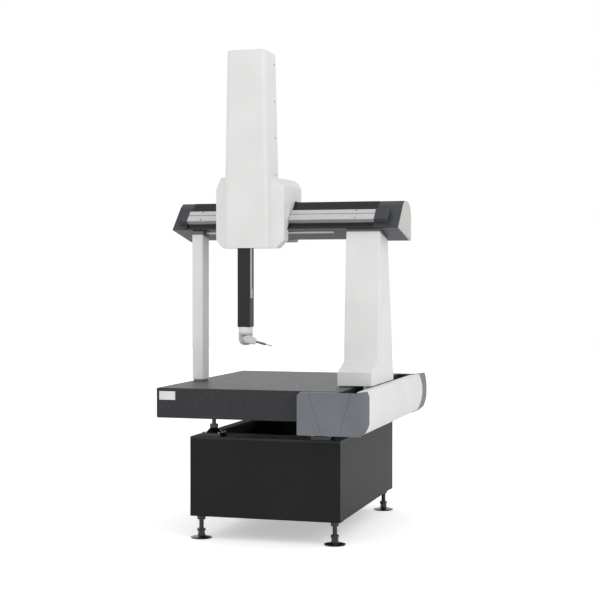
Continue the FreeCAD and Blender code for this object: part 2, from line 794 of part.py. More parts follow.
def right_leg_core(hollow=True):
    """Load-bearing box of the right leg inside its covers."""
    outline = [(LEG_FRONT_TOP + LEG_CORE_INSET,
                underside(LEG_FRONT_TOP + LEG_CORE_INSET, RIGHT_SPACER_T)),
               (LEG_FRONT_LOW, FOOT_Z), (LEG_BACK_LOW - 2 * LEG_CORE_INSET, FOOT_Z),
               (LEG_BACK_TOP - LEG_CORE_INSET,
                underside(LEG_BACK_TOP - LEG_CORE_INSET, RIGHT_SPACER_T))]
    x0 = LEG_LEFT + LEG_CORE_INSET
    x1 = LEG_LEFT + LEG_W - LEG_CORE_INSET
    core = prism_x(at_bridge(outline), x0, x1)
    if not hollow:
        return core
    points = [Vector(x0 + LEG_CORE_WALL, y, z) for y, z in at_bridge(outline)]
    face = Part.Face(Part.makePolygon(points + points[:1])).makeOffset2D(-LEG_CORE_WALL, 2)
    return core.cut(face.extrude(Vector(x1 - x0 - 2 * LEG_CORE_WALL, 0, 0)))


def leg_shell():
    """Whole outer skin of the right leg, open where the core passes through."""
    outer = prism_x(at_bridge(leg_outline()), LEG_LEFT, LEG_LEFT + LEG_W)
    upright = [e for e in outer.Edges if e.BoundBox.XLength < 1e-6 and e.BoundBox.ZLength > 20]
    outer = outer.makeFillet(LEG_EDGE_R, upright)
    wire = Part.makePolygon([Vector(0, y, z) for y, z in at_bridge(leg_outline() +
                                                                   leg_outline()[:1])])
    inner = Part.Face(wire).makeOffset2D(-LEG_SKIN, 2)
    inner = inner.extrude(Vector(LEG_W - 2 * LEG_SKIN, 0, 0))
    inner.translate(Vector(LEG_LEFT + LEG_SKIN, 0, 0))
    return outer.cut(inner).cut(right_leg_core(False))


def leg_part(y0, y1, z0, z1):
    """Piece of the leg skin within limits given from the beam's front lip."""
    return leg_shell().common(box(LEG_LEFT - 1, LEG_LEFT + LEG_W + 1, BRIDGE_Y + y0,
                                  BRIDGE_Y + y1, z0, z1))


def right_foot_cover():
    """Low front hood over the foot."""
    return leg_part(LEG_FOOT_FRONT - 1, LEG_SEAM, FOOT_Z - 1,
                    FOOT_Z + LEG_FOOT_H + LEG_FOOT_RISE)


def right_leg_front_cover():
    """Front skin of the leg above the foot."""
    return leg_part(LEG_FRONT_LOW - 1, LEG_SEAM, FOOT_Z + LEG_FOOT_H + LEG_FOOT_RISE,
                    BEAM_TIP_Z)


def right_leg_rear_cover():
    """Rear skin of the leg with the leaning back."""
    return leg_part(LEG_SEAM, LEG_BACK_LOW + 1, FOOT_Z - 1, BEAM_TIP_Z)


def column_outline():
    """Side view of the left column."""
    back = COLUMN_FRONT + COLUMN_D
    return [(COLUMN_FRONT, COLUMN_BOTTOM), (back, COLUMN_BOTTOM),
            (back, underside(back, LEFT_SPACER_T)),
            (COLUMN_FRONT, underside(COLUMN_FRONT, LEFT_SPACER_T))]


def left_column():
    """Extruded left column with rounded edges, hollow inside."""
    left = COLUMN_RIGHT - COLUMN_W
    bar = prism_x(at_bridge(column_outline()), left, COLUMN_RIGHT)
    tall = [e for e in bar.Edges if e.BoundBox.ZLength > COLUMN_D]
    bar = bar.makeFillet(COLUMN_EDGE_R, tall)
    hollow = box(left + COLUMN_WALL, COLUMN_RIGHT - COLUMN_WALL,
                 BRIDGE_Y + COLUMN_FRONT + COLUMN_WALL,
                 BRIDGE_Y + COLUMN_FRONT + COLUMN_D - COLUMN_WALL,
                 COLUMN_BOTTOM + 2 * COLUMN_WALL, BEAM_TIP_Z)
    return bar.cut(hollow)


def beam_spacers():
    """Wedge-cut pads between the beam's underside and the two legs."""
    pads = []
    for x0, x1, y0, y1, thick in (
            (COLUMN_RIGHT - COLUMN_W, COLUMN_RIGHT, COLUMN_FRONT, COLUMN_FRONT + COLUMN_D,
             LEFT_SPACER_T),
            (LEG_LEFT, LEG_LEFT + LEG_W, LEG_FRONT_TOP, LEG_BACK_TOP, RIGHT_SPACER_T)):
        y0 += SPACER_INSET
        y1 -= SPACER_INSET
        outline = [(y0, underside(y0)), (y1, underside(y1)), (y1, underside(y1, thick)),
                   (y0, underside(y0, thick))]
        pads.append(prism_x(at_bridge(outline), x0 + SPACER_INSET, x1 - SPACER_INSET))
    return group(pads)


def y_truck():
    """Hanging plate of the right leg that grips the side guide, with its belt arm."""
    y0 = BRIDGE_Y + LEG_FOOT_FRONT + TRUCK_IN_FRONT
    y1 = BRIDGE_Y + LEG_BACK_LOW - TRUCK_IN_BACK
    low = GUIDE_BOTTOM - PAD_T - TRUCK_LIP_T
    plate = box(TRUCK_LEFT, TRUCK_RIGHT, y0, y1, low, FOOT_Z)
    lip = box(GUIDE_RIGHT - TRUCK_LIP, TRUCK_LEFT, y0, y1, low, low + TRUCK_LIP_T)
    middle = (y0 + y1) / 2
    belt_top = Y_BELT_Z + Y_PULLEY_R + BELT_T + AIR_GAP
    arm = box(TRUCK_RIGHT, Y_BELT_X + Y_BELT_W / 2, middle - CLAMP_H, middle + CLAMP_H,
              belt_top, belt_top + PAD_T)
    reader_z = GUIDE_TOP + SCALE_T + READER_GAP
    reader = box(TABLE_RIGHT + GUIDE_W / 4, TRUCK_LEFT, middle - READER_L / 2,
                 middle + READER_L / 2, reader_z, reader_z + READER_H)
    return plate.fuse([lip, arm, reader]).removeSplitter()


def bridge_bearing_pads():
    """Air-bearing pads of the bridge: under both legs and against the side guide."""
    front = BRIDGE_Y + LEG_FOOT_FRONT + TRUCK_IN_FRONT + 4
    back = BRIDGE_Y + LEG_BACK_LOW - TRUCK_IN_BACK - 4
    pads = []
    for y in (front, back - BEARING_L):
        end = y + BEARING_L
        pads.append(box(LEG_LEFT + 8, TABLE_RIGHT - 14, y, end, TABLE_TOP + AIR_GAP, FOOT_Z))
        pads.append(box(GUIDE_RIGHT + AIR_GAP, TRUCK_LEFT, y, end, GUIDE_BOTTOM + 20,
                        GUIDE_TOP - 20))
        pads.append(box(GUIDE_RIGHT - TRUCK_LIP, GUIDE_RIGHT - 2, y, end,
                        GUIDE_BOTTOM - PAD_T, GUIDE_BOTTOM - AIR_GAP))
    inset = 6.0
    left = COLUMN_RIGHT - COLUMN_W
    pads.append(box(left + inset, COLUMN_RIGHT - inset, BRIDGE_Y + COLUMN_FRONT + inset,
                    BRIDGE_Y + COLUMN_FRONT + COLUMN_D - inset, TABLE_TOP + AIR_GAP,
                    COLUMN_BOTTOM))
    return group(pads)


# ---------------------------------------------------------------- beam
def on_face(along, out):
    """Point of the beam section by its distance up the 45 degree face and out of it."""
    return ((along - out) * DIAG, BEAM_TIP_Z + (along + out) * DIAG)


def face_bar(along0, along1, out0, out1, x0, x1):
    """Bar lying along the 45 degree face of the beam."""
    outline = [on_face(along0, out0), on_face(along1, out0), on_face(along1, out1),
               on_face(along0, out1)]
    return prism_x(at_bridge(outline), x0, x1)


def beam_face(depth, cut):
    """Beam section: lip, 45 degree front, flat top, rounded back, sloping underside."""
    def point(y, rise):
        return Vector(0, BRIDGE_Y + y, BEAM_TIP_Z + rise)
    top_back = point(BEAM_TOP_BACK, BEAM_RISE)
    back_top = point(depth, BEAM_BACK_H)
    reach = depth - BEAM_TOP_BACK
    drop = BEAM_RISE - BEAM_BACK_H
    shoulder = point(BEAM_TOP_BACK + reach * DIAG, BEAM_BACK_H + drop * DIAG)
    arc = Part.Arc(top_back, shoulder, back_top).toShape()
    front = [point(BEAM_RISE, BEAM_RISE)]
    if cut:
        front = [point(BEAM_RISE + cut * 0.65, BEAM_RISE), point(BEAM_RISE - cut, BEAM_RISE - cut)]
    rest = [back_top, point(depth, -depth * TAN_SLOPE), point(0, 0)] + front[::-1] + [top_back]
    return Part.Face(Part.Wire([arc] + Part.makePolygon(rest).Edges))


def beam_block(depth, cut, inset, x0, x1):
    """Length of beam section."""
    face = beam_face(depth, cut)
    if inset:
        face = face.makeOffset2D(-inset, 2)
    face.translate(Vector(x0, 0, 0))
    return face.extrude(Vector(x1 - x0, 0, 0))


def beam_core():
    """Hollow beam with the two seats for the guideway strips."""
    core = beam_block(BEAM_DEPTH, 0, 0, CORE_LEFT, CORE_RIGHT)
    core = core.cut(beam_block(BEAM_DEPTH, 0, BEAM_WALL, CORE_LEFT - 1, CORE_RIGHT + 1))
    for strip in guideway_strips(CORE_LEFT - 1, CORE_RIGHT + 1, 1):
        core = core.cut(strip)
    return core


def guideway_strips(x0, x1, proud):
    """The two bearing strips let into the 45 degree face."""
    return [face_bar(LOW_WAY_START, RAIL_START, -GUIDEWAY_T, proud, x0, x1),
            face_bar(RAIL_END, HIGH_WAY_END, -GUIDEWAY_T, proud, x0, x1)]


def beam_guideways():
    """Black guideway strips of the carriage."""
    return group(guideway_strips(CORE_LEFT, CORE_RIGHT, 0))


def beam_front_rail():
    """Bright extrusion between the guideways with its lengthwise groove."""
    rail = face_bar(RAIL_START, RAIL_END, 0, RAIL_T, CORE_LEFT, CORE_RIGHT)
    start = RAIL_START + RAIL_SLOT_AT
    groove = face_bar(start, start + RAIL_SLOT_W, RAIL_T - RAIL_SLOT_DEPTH, RAIL_T + 1,
                      CORE_LEFT - 1, CORE_RIGHT + 1)
    return rail.cut(groove)


def x_scale():
    """Scale strip under the beam, its left end turned down."""
    y0 = X_SCALE_BACK
    y1 = X_SCALE_BACK + X_SCALE_W
    outline = [(y0, underside(y0)), (y1, underside(y1)), (y1, underside(y1, X_SCALE_T)),
               (y0, underside(y0, X_SCALE_T))]
    strip = prism_x(at_bridge(outline), X_SCALE_LEFT, X_SCALE_RIGHT)
    hook = [(y0, underside(y0)), (y1, underside(y1)), (y1, underside(y1, 4 * X_SCALE_T)),
            (y0, underside(y0, 4 * X_SCALE_T))]
    return strip.fuse(prism_x(at_bridge(hook), X_SCALE_LEFT - 12, X_SCALE_LEFT)).removeSplitter()


def cap_panel(x0, x1):
    """Raised panel of a beam cap that carries on the line of the front rail."""
    outline = [on_face(3, -1), on_face(3, 3), on_face(RAIL_START - 8, 3),
               on_face(RAIL_START - 2, RAIL_T + 1), on_face(RAIL_END + 6, RAIL_T + 1),
               on_face(RAIL_END + 6, -1)]
    return prism_x(at_bridge(outline), x0, x1)


def beam_cap(x0, x1, open_side):
    """Hollow end cap of the beam, open towards the beam."""
    wall = BEAM_CAP_WALL
    shell = beam_block(BEAM_CAP_DEPTH, BEAM_CAP_CUT, 0, x0, x1)
    inner0, inner1 = (x0 - 1, x1 - wall) if open_side < 0 else (x0 + wall, x1 + 1)
    return shell.cut(beam_block(BEAM_CAP_DEPTH, BEAM_CAP_CUT, wall, inner0, inner1))


def beam_left_cap():
    """Left end cap."""
    cap = beam_cap(BEAM_LEFT, CORE_LEFT, 1)
    return cap.fuse(cap_panel(CORE_LEFT - CAP_PANEL_LEFT_L, CORE_LEFT)).removeSplitter()


def beam_right_cap():
    """Right end cap, which houses the carriage motor."""
    cap = beam_cap(CORE_RIGHT, BEAM_RIGHT, -1)
    return cap.fuse(cap_panel(CORE_RIGHT, CORE_RIGHT + CAP_PANEL_L)).removeSplitter()


def beam_end_plate():
    """Cushioned end plate on the right cap."""
    plate = beam_block(BEAM_CAP_DEPTH, BEAM_CAP_CUT, 0, BEAM_RIGHT, BEAM_RIGHT + END_PLATE_T)
    rim = [e for e in plate.Edges if e.BoundBox.XMin > BEAM_RIGHT + END_PLATE_T - 1e-3]
    return plate.makeFillet(END_PLATE_T * 0.75, rim)


def x_pulley_places():
    """Left and right pulley centres as x values."""
    return (CORE_LEFT - X_PULLEY_INSET / 2, CORE_RIGHT + X_PULLEY_INSET)


def x_belt():
    """Outline of the carriage drive belt behind the beam."""
    left, right = x_pulley_places()
    loop = belt_loop(X_PULLEY_R, X_BELT_T, X_BELT_W, left, right)
    return placed(loop, (1, 0, 0), (0, 0, 1), (0, BRIDGE_Y + X_BELT_Y, X_BELT_Z))


def x_pulley(x):
    """Carriage drive pulley at a place along the beam."""
    wheel = pulley(X_PULLEY_R, X_BELT_W + 2, X_SHAFT_R + RUNNING_FIT, 1.5)
    return placed(wheel, (1, 0, 0), (0, 0, 1), (x, BRIDGE_Y + X_BELT_Y, X_BELT_Z))


def x_motor_pulley():
    """Pulley on the motor shaft."""
    return x_pulley(x_pulley_places()[1])


def x_idler_pulley():
    """Pulley at the far end of the beam."""
    return x_pulley(x_pulley_places()[0])


def x_mounting(x, core_end):
    """Plate bolted on the beam's end, with the pin or shaft of one pulley."""
    y = BRIDGE_Y + X_BELT_Y
    z = X_BELT_Z - X_BELT_W / 2 - 6
    far = x + math.copysign(X_MOTOR_R, x - core_end)
    low, high = sorted((core_end, far))
    plate = box(low, high, BRIDGE_Y + BEAM_DEPTH - BEAM_WALL, y + X_PULLEY_R, z - 5, z)
    pin = cylinder(X_SHAFT_R, X_BELT_W + 10, (x, y, z), (0, 0, 1))
    return plate.fuse(pin).removeSplitter()


def x_idler_bracket():
    """Bracket and pin of the left pulley."""
    return x_mounting(x_pulley_places()[0], CORE_LEFT)


def x_motor():
    """Carriage motor hanging from its plate, with its shaft."""
    x = x_pulley_places()[1]
    y = BRIDGE_Y + X_BELT_Y
    mounting = x_mounting(x, CORE_RIGHT)
    z = X_BELT_Z - X_BELT_W / 2 - 11
    body = cylinder(X_MOTOR_R, X_MOTOR_L, (x, y, z - X_MOTOR_L), (0, 0, 1))
    return mounting.fuse(body).removeSplitter()


# ---------------------------------------------------------------- carriage
def at_carriage(x):
    """Place across the carriage, measured from its middle."""
    return CARRIAGE_X + x


def carriage_body(inset):
    """Outer solid of the carriage cover, or the space inside its skin."""
    half = CARRIAGE_W / 2 - inset
    wing = TOWER_BOTTOM_W / 2 - 5
    front = CARRIAGE_FRONT + inset
    back = CARRIAGE_BACK - inset * 0.4
    tail = CARRIAGE_BACK + CARRIAGE_TAIL - inset
    tail_half = half - CARRIAGE_TAIL_IN
    plan = [(-half, front), (TOWER_OFFSET_X - wing, WING_FRONT + inset),
            (TOWER_OFFSET_X + wing, WING_FRONT + inset), (half, front), (half, back),
            (tail_half, tail), (-tail_half, tail), (-half, back)]
    plan = [(at_carriage(x), BRIDGE_Y + y) for x, y in plan]
    low = BEAM_TIP_Z + CARRIAGE_BOTTOM + inset
    top = BEAM_TIP_Z + CARRIAGE_TOP - inset
    body = prism_z(plan, low, top)
    tail_front = FRAME_BACK + FRAME_BACK_T + inset
    side = [(WING_FRONT, low), (CARRIAGE_BELLY - inset, low),
            (CARRIAGE_BELLY - inset, BEAM_TIP_Z + inset), (tail_front, BEAM_TIP_Z + inset),
            (tail_front, BEAM_TIP_Z + CARRIAGE_TAIL_LOW + inset),
            (tail, BEAM_TIP_Z + CARRIAGE_TAIL_LOW + inset),
            (tail, BEAM_TIP_Z + CARRIAGE_TAIL_TOP - inset * 0.4),
            (CARRIAGE_BACK, top), (WING_FRONT, top)]
    body = body.common(prism_x(at_bridge(side), at_carriage(-half), at_carriage(half)))
    return body.cut(group(carriage_chamfers(half, low, top)))


def carriage_chamfers(half, low, top):
    """Wedges taken off the long edges; the right upper one narrows towards the back."""
    front = BRIDGE_Y + WING_FRONT - 1
    back = BRIDGE_Y + CARRIAGE_BACK + CARRIAGE_TAIL + 1
    left = at_carriage(-half)
    right = at_carriage(half)
    wedges = [prism_y([(left - 1, top + 1), (left + CHAMFER_LEFT_X, top + 1),
                       (left + CHAMFER_LEFT_X, top), (left, top - CHAMFER_LEFT_Z),
                       (left - 1, top - CHAMFER_LEFT_Z)], front, back)]
    for edge, out in ((left, -1), (right, 1)):
        wedges.append(prism_y([(edge + out, low - 1), (edge - out * CHAMFER_LOW, low - 1),
                               (edge - out * CHAMFER_LOW, low), (edge, low + CHAMFER_LOW),
                               (edge + out, low + CHAMFER_LOW)], front, back))
    ends = []
    for y, wide, high in ((front, CHAMFER_RIGHT_X, CHAMFER_RIGHT_Z),
                          (back, CHAMFER_LEFT_X, CHAMFER_LOW)):
        corners = [(right + 1, top + 1), (right - wide, top + 1), (right - wide, top),
                   (right, top - high), (right + 1, top - high)]
        points = [Vector(x, y, z) for x, z in corners]
        ends.append(Part.makePolygon(points + points[:1]))
    wedges.append(Part.makeLoft(ends, True, True))
    return wedges


def beam_passage():
    """Space the beam takes through the carriage, with a gap all round and the belt behind."""
    back = FRAME_BACK - 4
    low = -BEAM_GAP
    outline = [(low, BEAM_TIP_Z + low), on_face(RAIL_START - BEAM_GAP, BEAM_GAP),
               on_face(RAIL_START - BEAM_GAP, RAIL_T + BEAM_GAP),
               on_face(RAIL_END + BEAM_GAP, RAIL_T + BEAM_GAP),
               on_face(RAIL_END + BEAM_GAP, BEAM_GAP),
               (BEAM_RISE - BEAM_GAP / 2, BEAM_TIP_Z + BEAM_RISE + BEAM_GAP),
               (back - BEAM_BACK_H, BEAM_TIP_Z + BEAM_RISE + BEAM_GAP),
               (back, BEAM_TIP_Z + BEAM_RISE + BEAM_GAP - BEAM_BACK_H),
               (back, BEAM_TIP_Z - back * TAN_SLOPE + low)]
    half = CARRIAGE_W / 2 + 1
    return prism_x(at_bridge(outline), at_carriage(-half), at_carriage(half))


def ram_passage(z0, z1):
    """Square opening round the ram with room for its scale clip."""
    side = RAM_W / 2 + 4
    return box(RAM_X - side, RAM_X + side + CLIP_T, RAM_Y - side, RAM_Y + side, z0, z1)


def carriage_cover():
    """Faceted skin of the carriage: wings beside the tower, sloped edges, tail behind."""
    skin = carriage_body(0).cut(carriage_body(CARRIAGE_SKIN)).cut(beam_passage())
    skin = skin.cut(tower_solid(0, TOWER_WING_BACK))
    low = BEAM_TIP_Z + CARRIAGE_BOTTOM
    top = BEAM_TIP_Z + CARRIAGE_TOP
    half = TOWER_MID_W / 2 - 2 * TOWER_SKIN
    skin = skin.cut(box(TOWER_X - half, TOWER_X + half, BRIDGE_Y + TOWER_WING_BACK - 1,
                        BRIDGE_Y + TOWER_MID_BACK - 2 * TOWER_SKIN,
                        top - 2 * CARRIAGE_SKIN, top + 1))
    skin = skin.cut(ram_passage(low - 1, low + 2 * CARRIAGE_SKIN))
    arm_low = reader_low()
    arm = box(at_carriage(READER_OFFSET_X - READER_L / 2 - 2),
              at_carriage(READER_OFFSET_X + READER_L / 2 + 2),
              BRIDGE_Y + FRAME_FRONT, BRIDGE_Y + CARRIAGE_BELLY + 1,
              arm_low - 2, arm_low + READER_H + 2)
    plate = box(at_carriage(-FRAME_W / 2 - 1), at_carriage(FRAME_W / 2 + 1),
                BRIDGE_Y + CARRIAGE_BELLY + 10, BRIDGE_Y + FRAME_BACK + FRAME_BACK_T + 0.5,
                BEAM_TIP_Z - 1, BEAM_TIP_Z + 2 * CARRIAGE_SKIN)
    return skin.cut(group([arm, plate]))


def tower_section(width, back, z, inset):
    """Plan of the tower at a height: large front corners, small rear corners."""
    half = width / 2 - inset
    x0 = CARRIAGE_X + TOWER_OFFSET_X - half
    x1 = CARRIAGE_X + TOWER_OFFSET_X + half
    y0 = BRIDGE_Y + TOWER_FRONT + inset
    y1 = BRIDGE_Y + back - inset
    front = TOWER_R - inset
    rear = max(TOWER_BACK_R - inset, 1)
    corners = [(x0, y0, front, 0, 0), (x1, y0, front, 1, 0),
               (x1, y1, rear, 1, 1), (x0, y1, rear, 0, 1)]
    edges = []
    ends = []
    for x, y, r, right, behind in corners:
        centre = Vector(x - r if right else x + r, y - r if behind else y + r, z)
        start = {(0, 0): 180, (1, 0): 270, (1, 1): 0, (0, 1): 90}[(right, behind)]
        points = [centre + Vector(r * math.cos(math.radians(a)), r * math.sin(math.radians(a)), 0)
                  for a in (start, start + 45, start + 90)]
        ends.append((points[0], points[2]))
        edges.append(Part.Arc(*points).toShape())
    lines = [Part.makeLine(ends[k][1], ends[(k + 1) % 4][0]) for k in range(4)]
    return Part.Wire([e for pair in zip(edges, lines) for e in pair])


def tower_solid(inset, wing_back):
    """Tower as a solid: upright lower part, then a tapering column with an eased crown."""
    low = BEAM_TIP_Z + CARRIAGE_BOTTOM
    seam = BEAM_TIP_Z + CARRIAGE_TOP
    lower = Part.makeLoft([tower_section(TOWER_BOTTOM_W, wing_back, low, inset),
                           tower_section(TOWER_MID_W, wing_back, seam, inset)], True, True)
    sections = [tower_section(TOWER_MID_W, TOWER_MID_BACK, seam, inset)]
    for turn in (0, 30, 60, 90):
        rise = TOWER_CROWN * math.sin(math.radians(turn))
        pull = TOWER_CROWN * (1 - math.cos(math.radians(turn)))
        sections.append(tower_section(TOWER_TOP_W, TOWER_TOP_BACK,
                                      TOWER_TOP - TOWER_CROWN - inset + rise, inset + pull))
    return lower.fuse(Part.makeLoft(sections, True, True))


def tower_cover():
    """Tall skin over the ram, open at the back between the wings."""
    skin = tower_solid(0, TOWER_WING_BACK)
    skin = skin.cut(tower_solid(TOWER_SKIN, TOWER_WING_BACK + TOWER_R))
    low = BEAM_TIP_Z + CARRIAGE_BOTTOM
    half = TOWER_BOTTOM_W / 2 - TOWER_SKIN - TOWER_CROWN
    floor = box(TOWER_X - half, TOWER_X + half, BRIDGE_Y + TOWER_FRONT + TOWER_SKIN / 2,
                BRIDGE_Y + TOWER_WING_BACK, low, low + TOWER_SKIN)
    return skin.fuse(floor).cut(ram_passage(low - 1, low + 2 * TOWER_SKIN))


def reader_low():
    """Lower side of the read head under the scale of the beam."""
    y = X_SCALE_BACK + X_SCALE_W
    return underside(y, X_SCALE_T + READER_GAP) - READER_H


def carriage_frame():
    """Saddle over the beam: ram guide in front, bearing carriers, back plate, belt clamp."""
    back = FRAME_BACK + FRAME_BACK_T
    top = BEAM_RISE + FRAME_SADDLE_GAP
    slant = FRAME_GAP / DIAG
    inner_low = FRAME_BACK - FRAME_BACK_T
    front = FRAME_FRONT + FRAME_PLATE_T
    z = BEAM_TIP_Z
    outline = [(FRAME_FRONT, z + FRAME_LOW), (FRAME_FRONT, z + FRAME_TOP),
               (FRAME_FRONT + FRAME_HEAD, z + FRAME_TOP),
               (FRAME_FRONT + FRAME_HEAD + FRAME_TOP - top - FRAME_TOP_T, z + top + FRAME_TOP_T),
               (back, z + top + FRAME_TOP_T), (back, z + CARRIAGE_TAIL_LOW),
               (FRAME_BACK, z + CARRIAGE_TAIL_LOW), (FRAME_BACK, z + top),
               (top - slant, z + top), (front, z + front + slant),
               (front, z + FRAME_LOW)]
    half = FRAME_W / 2
    saddle = prism_x(at_bridge(outline), at_carriage(-half), at_carriage(half))
    pocket_half = FRAME_W / 4 - FRAME_PLATE_T
    pockets = []
    for side in (-1, 1):
        x = at_carriage(side * FRAME_W / 4)
        pockets.append(box(x - pocket_half, x + pocket_half, BRIDGE_Y + front,
                           BRIDGE_Y + FRAME_FRONT + FRAME_HEAD - FRAME_PLATE_T,
                           z + top + FRAME_TOP_T, z + FRAME_TOP + 1))
    saddle = saddle.cut(group(pockets))
    clamp_y = X_BELT_Y + X_PULLEY_R + X_BELT_T + AIR_GAP
    clamp = box(at_carriage(-CLAMP_H), at_carriage(CLAMP_H), BRIDGE_Y + clamp_y,
                BRIDGE_Y + FRAME_BACK, X_BELT_Z - X_BELT_W / 2, X_BELT_Z + X_BELT_W / 2)
    reader_x = at_carriage(READER_OFFSET_X - READER_L / 2)
    reader = box(reader_x, reader_x + READER_L, BRIDGE_Y + front,
                 BRIDGE_Y + X_SCALE_BACK + X_SCALE_W, reader_low(),
                 reader_low() + READER_H / 2)
    head = box(reader_x, reader_x + READER_L, BRIDGE_Y + X_SCALE_BACK,
               BRIDGE_Y + X_SCALE_BACK + X_SCALE_W, reader_low(), reader_low() + READER_H)
    return saddle.fuse([clamp, reader, head, ram_guide()]).removeSplitter()


def ram_guide():
    """U-shaped channel that carries the ram's bearings, bolted in front of the saddle."""
    inner = RAM_W / 2 + GUIDE_PAD_T
    outer = inner + GUIDE_WALL
    front = RAM_Y - inner
    z0 = BEAM_TIP_Z + FRAME_LOW
    z1 = BEAM_TIP_Z + FRAME_TOP
    back = BRIDGE_Y + FRAME_FRONT
    channel = box(RAM_X - outer, RAM_X + outer, front - GUIDE_PLATE_T, back, z0, z1)
    return channel.cut(box(RAM_X - inner, RAM_X + inner, front, back, z0, z1))


def beam_pads():
    """Air-bearing pads of the carriage with their studs, cut flush to the saddle."""
    pads = []
    for side in (-1, 1):
        x = at_carriage(side * BEAM_PAD_X)
        x0 = x - BEARING_L / 2
        x1 = x + BEARING_L / 2
        for a, b in ((LOW_WAY_START + 5, RAIL_START - 4), (RAIL_END + 9, HIGH_WAY_END - 7)):
            pads.append(face_bar(a, b, AIR_GAP, AIR_GAP + PAD_T, x0, x1))
            mid = (a + b) / 2
            pads.append(face_bar(mid - PAD_STUD, mid + PAD_STUD, AIR_GAP + PAD_T, FRAME_GAP,
                                 x - PAD_STUD, x + PAD_STUD))
        y = BRIDGE_Y + BEAM_DEPTH + AIR_GAP
        pads.append(box(x0, x1, y, y + PAD_T, BEAM_TIP_Z + CARRIAGE_TAIL_LOW / 2,
                        X_BELT_Z - X_BELT_W))
        z = BEAM_TIP_Z - PAD_STUD
        pads.append(box(x - PAD_STUD, x + PAD_STUD, y + PAD_T, BRIDGE_Y + FRAME_BACK,
                        z - PAD_STUD, z + PAD_STUD))
        z = BEAM_TIP_Z + BEAM_RISE + AIR_GAP
        pads.append(box(x0, x1, BRIDGE_Y + BEAM_RISE + 4, BRIDGE_Y + BEAM_TOP_BACK - 3,
                        z, z + PAD_T))
        y = BRIDGE_Y + (BEAM_RISE + BEAM_TOP_BACK) / 2
        pads.append(box(x - PAD_STUD, x + PAD_STUD, y - PAD_STUD, y + PAD_STUD, z + PAD_T,
                        BEAM_TIP_Z + BEAM_RISE + FRAME_SADDLE_GAP))
    return pads


def ram_pads():
    """Air-bearing pads on the four sides of the ram, two levels."""
    near = RAM_W / 2 + AIR_GAP
    far = RAM_W / 2 + GUIDE_PAD_T
    half = GUIDE_PAD_W / 2
    pads = []
    for z in (BEAM_TIP_Z + FRAME_LOW + GUIDE_PAD_END,
              BEAM_TIP_Z + FRAME_TOP - GUIDE_PAD_END - GUIDE_PAD_H):
        z1 = z + GUIDE_PAD_H
        pads.append(box(RAM_X - half, RAM_X + half, RAM_Y - far, RAM_Y - near, z, z1))
        pads.append(box(RAM_X - half, RAM_X + half, RAM_Y + near,
                        BRIDGE_Y + FRAME_FRONT, z, z1))
        pads.append(box(RAM_X - far, RAM_X - near, RAM_Y - half, RAM_Y + half, z, z1))
        pads.append(box(RAM_X + near, RAM_X + far, RAM_Y, RAM_Y + half + 2, z, z1))
    return pads


def carriage_bearing_pads():
    """All air-bearing pads of the carriage, on the beam and round the ram."""
    frame = carriage_frame()
    return group([pad.cut(frame) for pad in beam_pads()] + ram_pads())


# ---------------------------------------------------------------- ram drive
def z_mast():
    """Strip standing on the saddle that carries the ram drive and the balance cylinder rod."""
    y0 = Z_BELT_Y + MAST_GAP
    y1 = y0 + MAST_T
    x1 = RAM_X + Z_BELT_W
    x0 = x1 - MAST_W
    strip = box(x0, x1, y0, y1, BEAM_TIP_Z + FRAME_TOP, MAST_TOP)
    roof = box(x0, x1, RAM_Y - 2 * ROD_R, y1, MAST_TOP - ROOF_T, MAST_TOP)
    seat = cylinder(ROD_R, ROOF_T, (RAM_X, RAM_Y, MAST_TOP - ROOF_T), (0, 0, 1))
    flanges = []
    for z in (Z_PULLEY_LOW, Z_PULLEY_HIGH):
        flanges.append(box(x1, x1 + FLANGE_T, Z_BELT_Y - Z_MOTOR_R, y1, z - Z_MOTOR_R,
                           z + Z_MOTOR_R))
    bore = cylinder(Z_SHAFT_R + 1, FLANGE_T, (x1, Z_BELT_Y, Z_PULLEY_LOW), (1, 0, 0))
    pin = cylinder(Z_SHAFT_R, x1 + FLANGE_T - z_pulley_x() + Z_BELT_W / 2 + 3,
                   (z_pulley_x() - Z_BELT_W / 2 - 3, Z_BELT_Y, Z_PULLEY_HIGH), (1, 0, 0))
    mast = strip.fuse([roof] + flanges).cut(group([seat, bore]))
    return mast.fuse(pin).removeSplitter()


def z_pulley_x():
    """Middle of the ram drive belt."""
    return RAM_X


def z_belt():
    """Outline of the upright belt behind the ram."""
    loop = belt_loop(Z_PULLEY_R, Z_BELT_T, Z_BELT_W, Z_PULLEY_LOW, Z_PULLEY_HIGH)
    return placed(loop, (0, 0, 1), (1, 0, 0), (z_pulley_x(), Z_BELT_Y, 0))


def z_pulley(z):
    """Ram drive pulley at a height."""
    wheel = pulley(Z_PULLEY_R, Z_BELT_W + 2, Z_SHAFT_R + RUNNING_FIT, 1.5)
    return placed(wheel, (0, 0, 1), (1, 0, 0), (z_pulley_x(), Z_BELT_Y, z))


def z_motor_pulley():
    """Pulley on the motor shaft."""
    return z_pulley(Z_PULLEY_LOW)


def z_idler_pulley():
    """Pulley on the upper pin."""
    return z_pulley(Z_PULLEY_HIGH)


def z_motor():
    """Ram motor on the side of the mast, with its shaft."""
    face = RAM_X + Z_BELT_W + FLANGE_T
    body = cylinder(Z_MOTOR_R, Z_MOTOR_L, (face, Z_BELT_Y, Z_PULLEY_LOW), (1, 0, 0))
    start = z_pulley_x() - Z_BELT_W / 2 - 3
    shaft = cylinder(Z_SHAFT_R, face - start, (start, Z_BELT_Y, Z_PULLEY_LOW), (1, 0, 0))
    return body.fuse(shaft).removeSplitter()


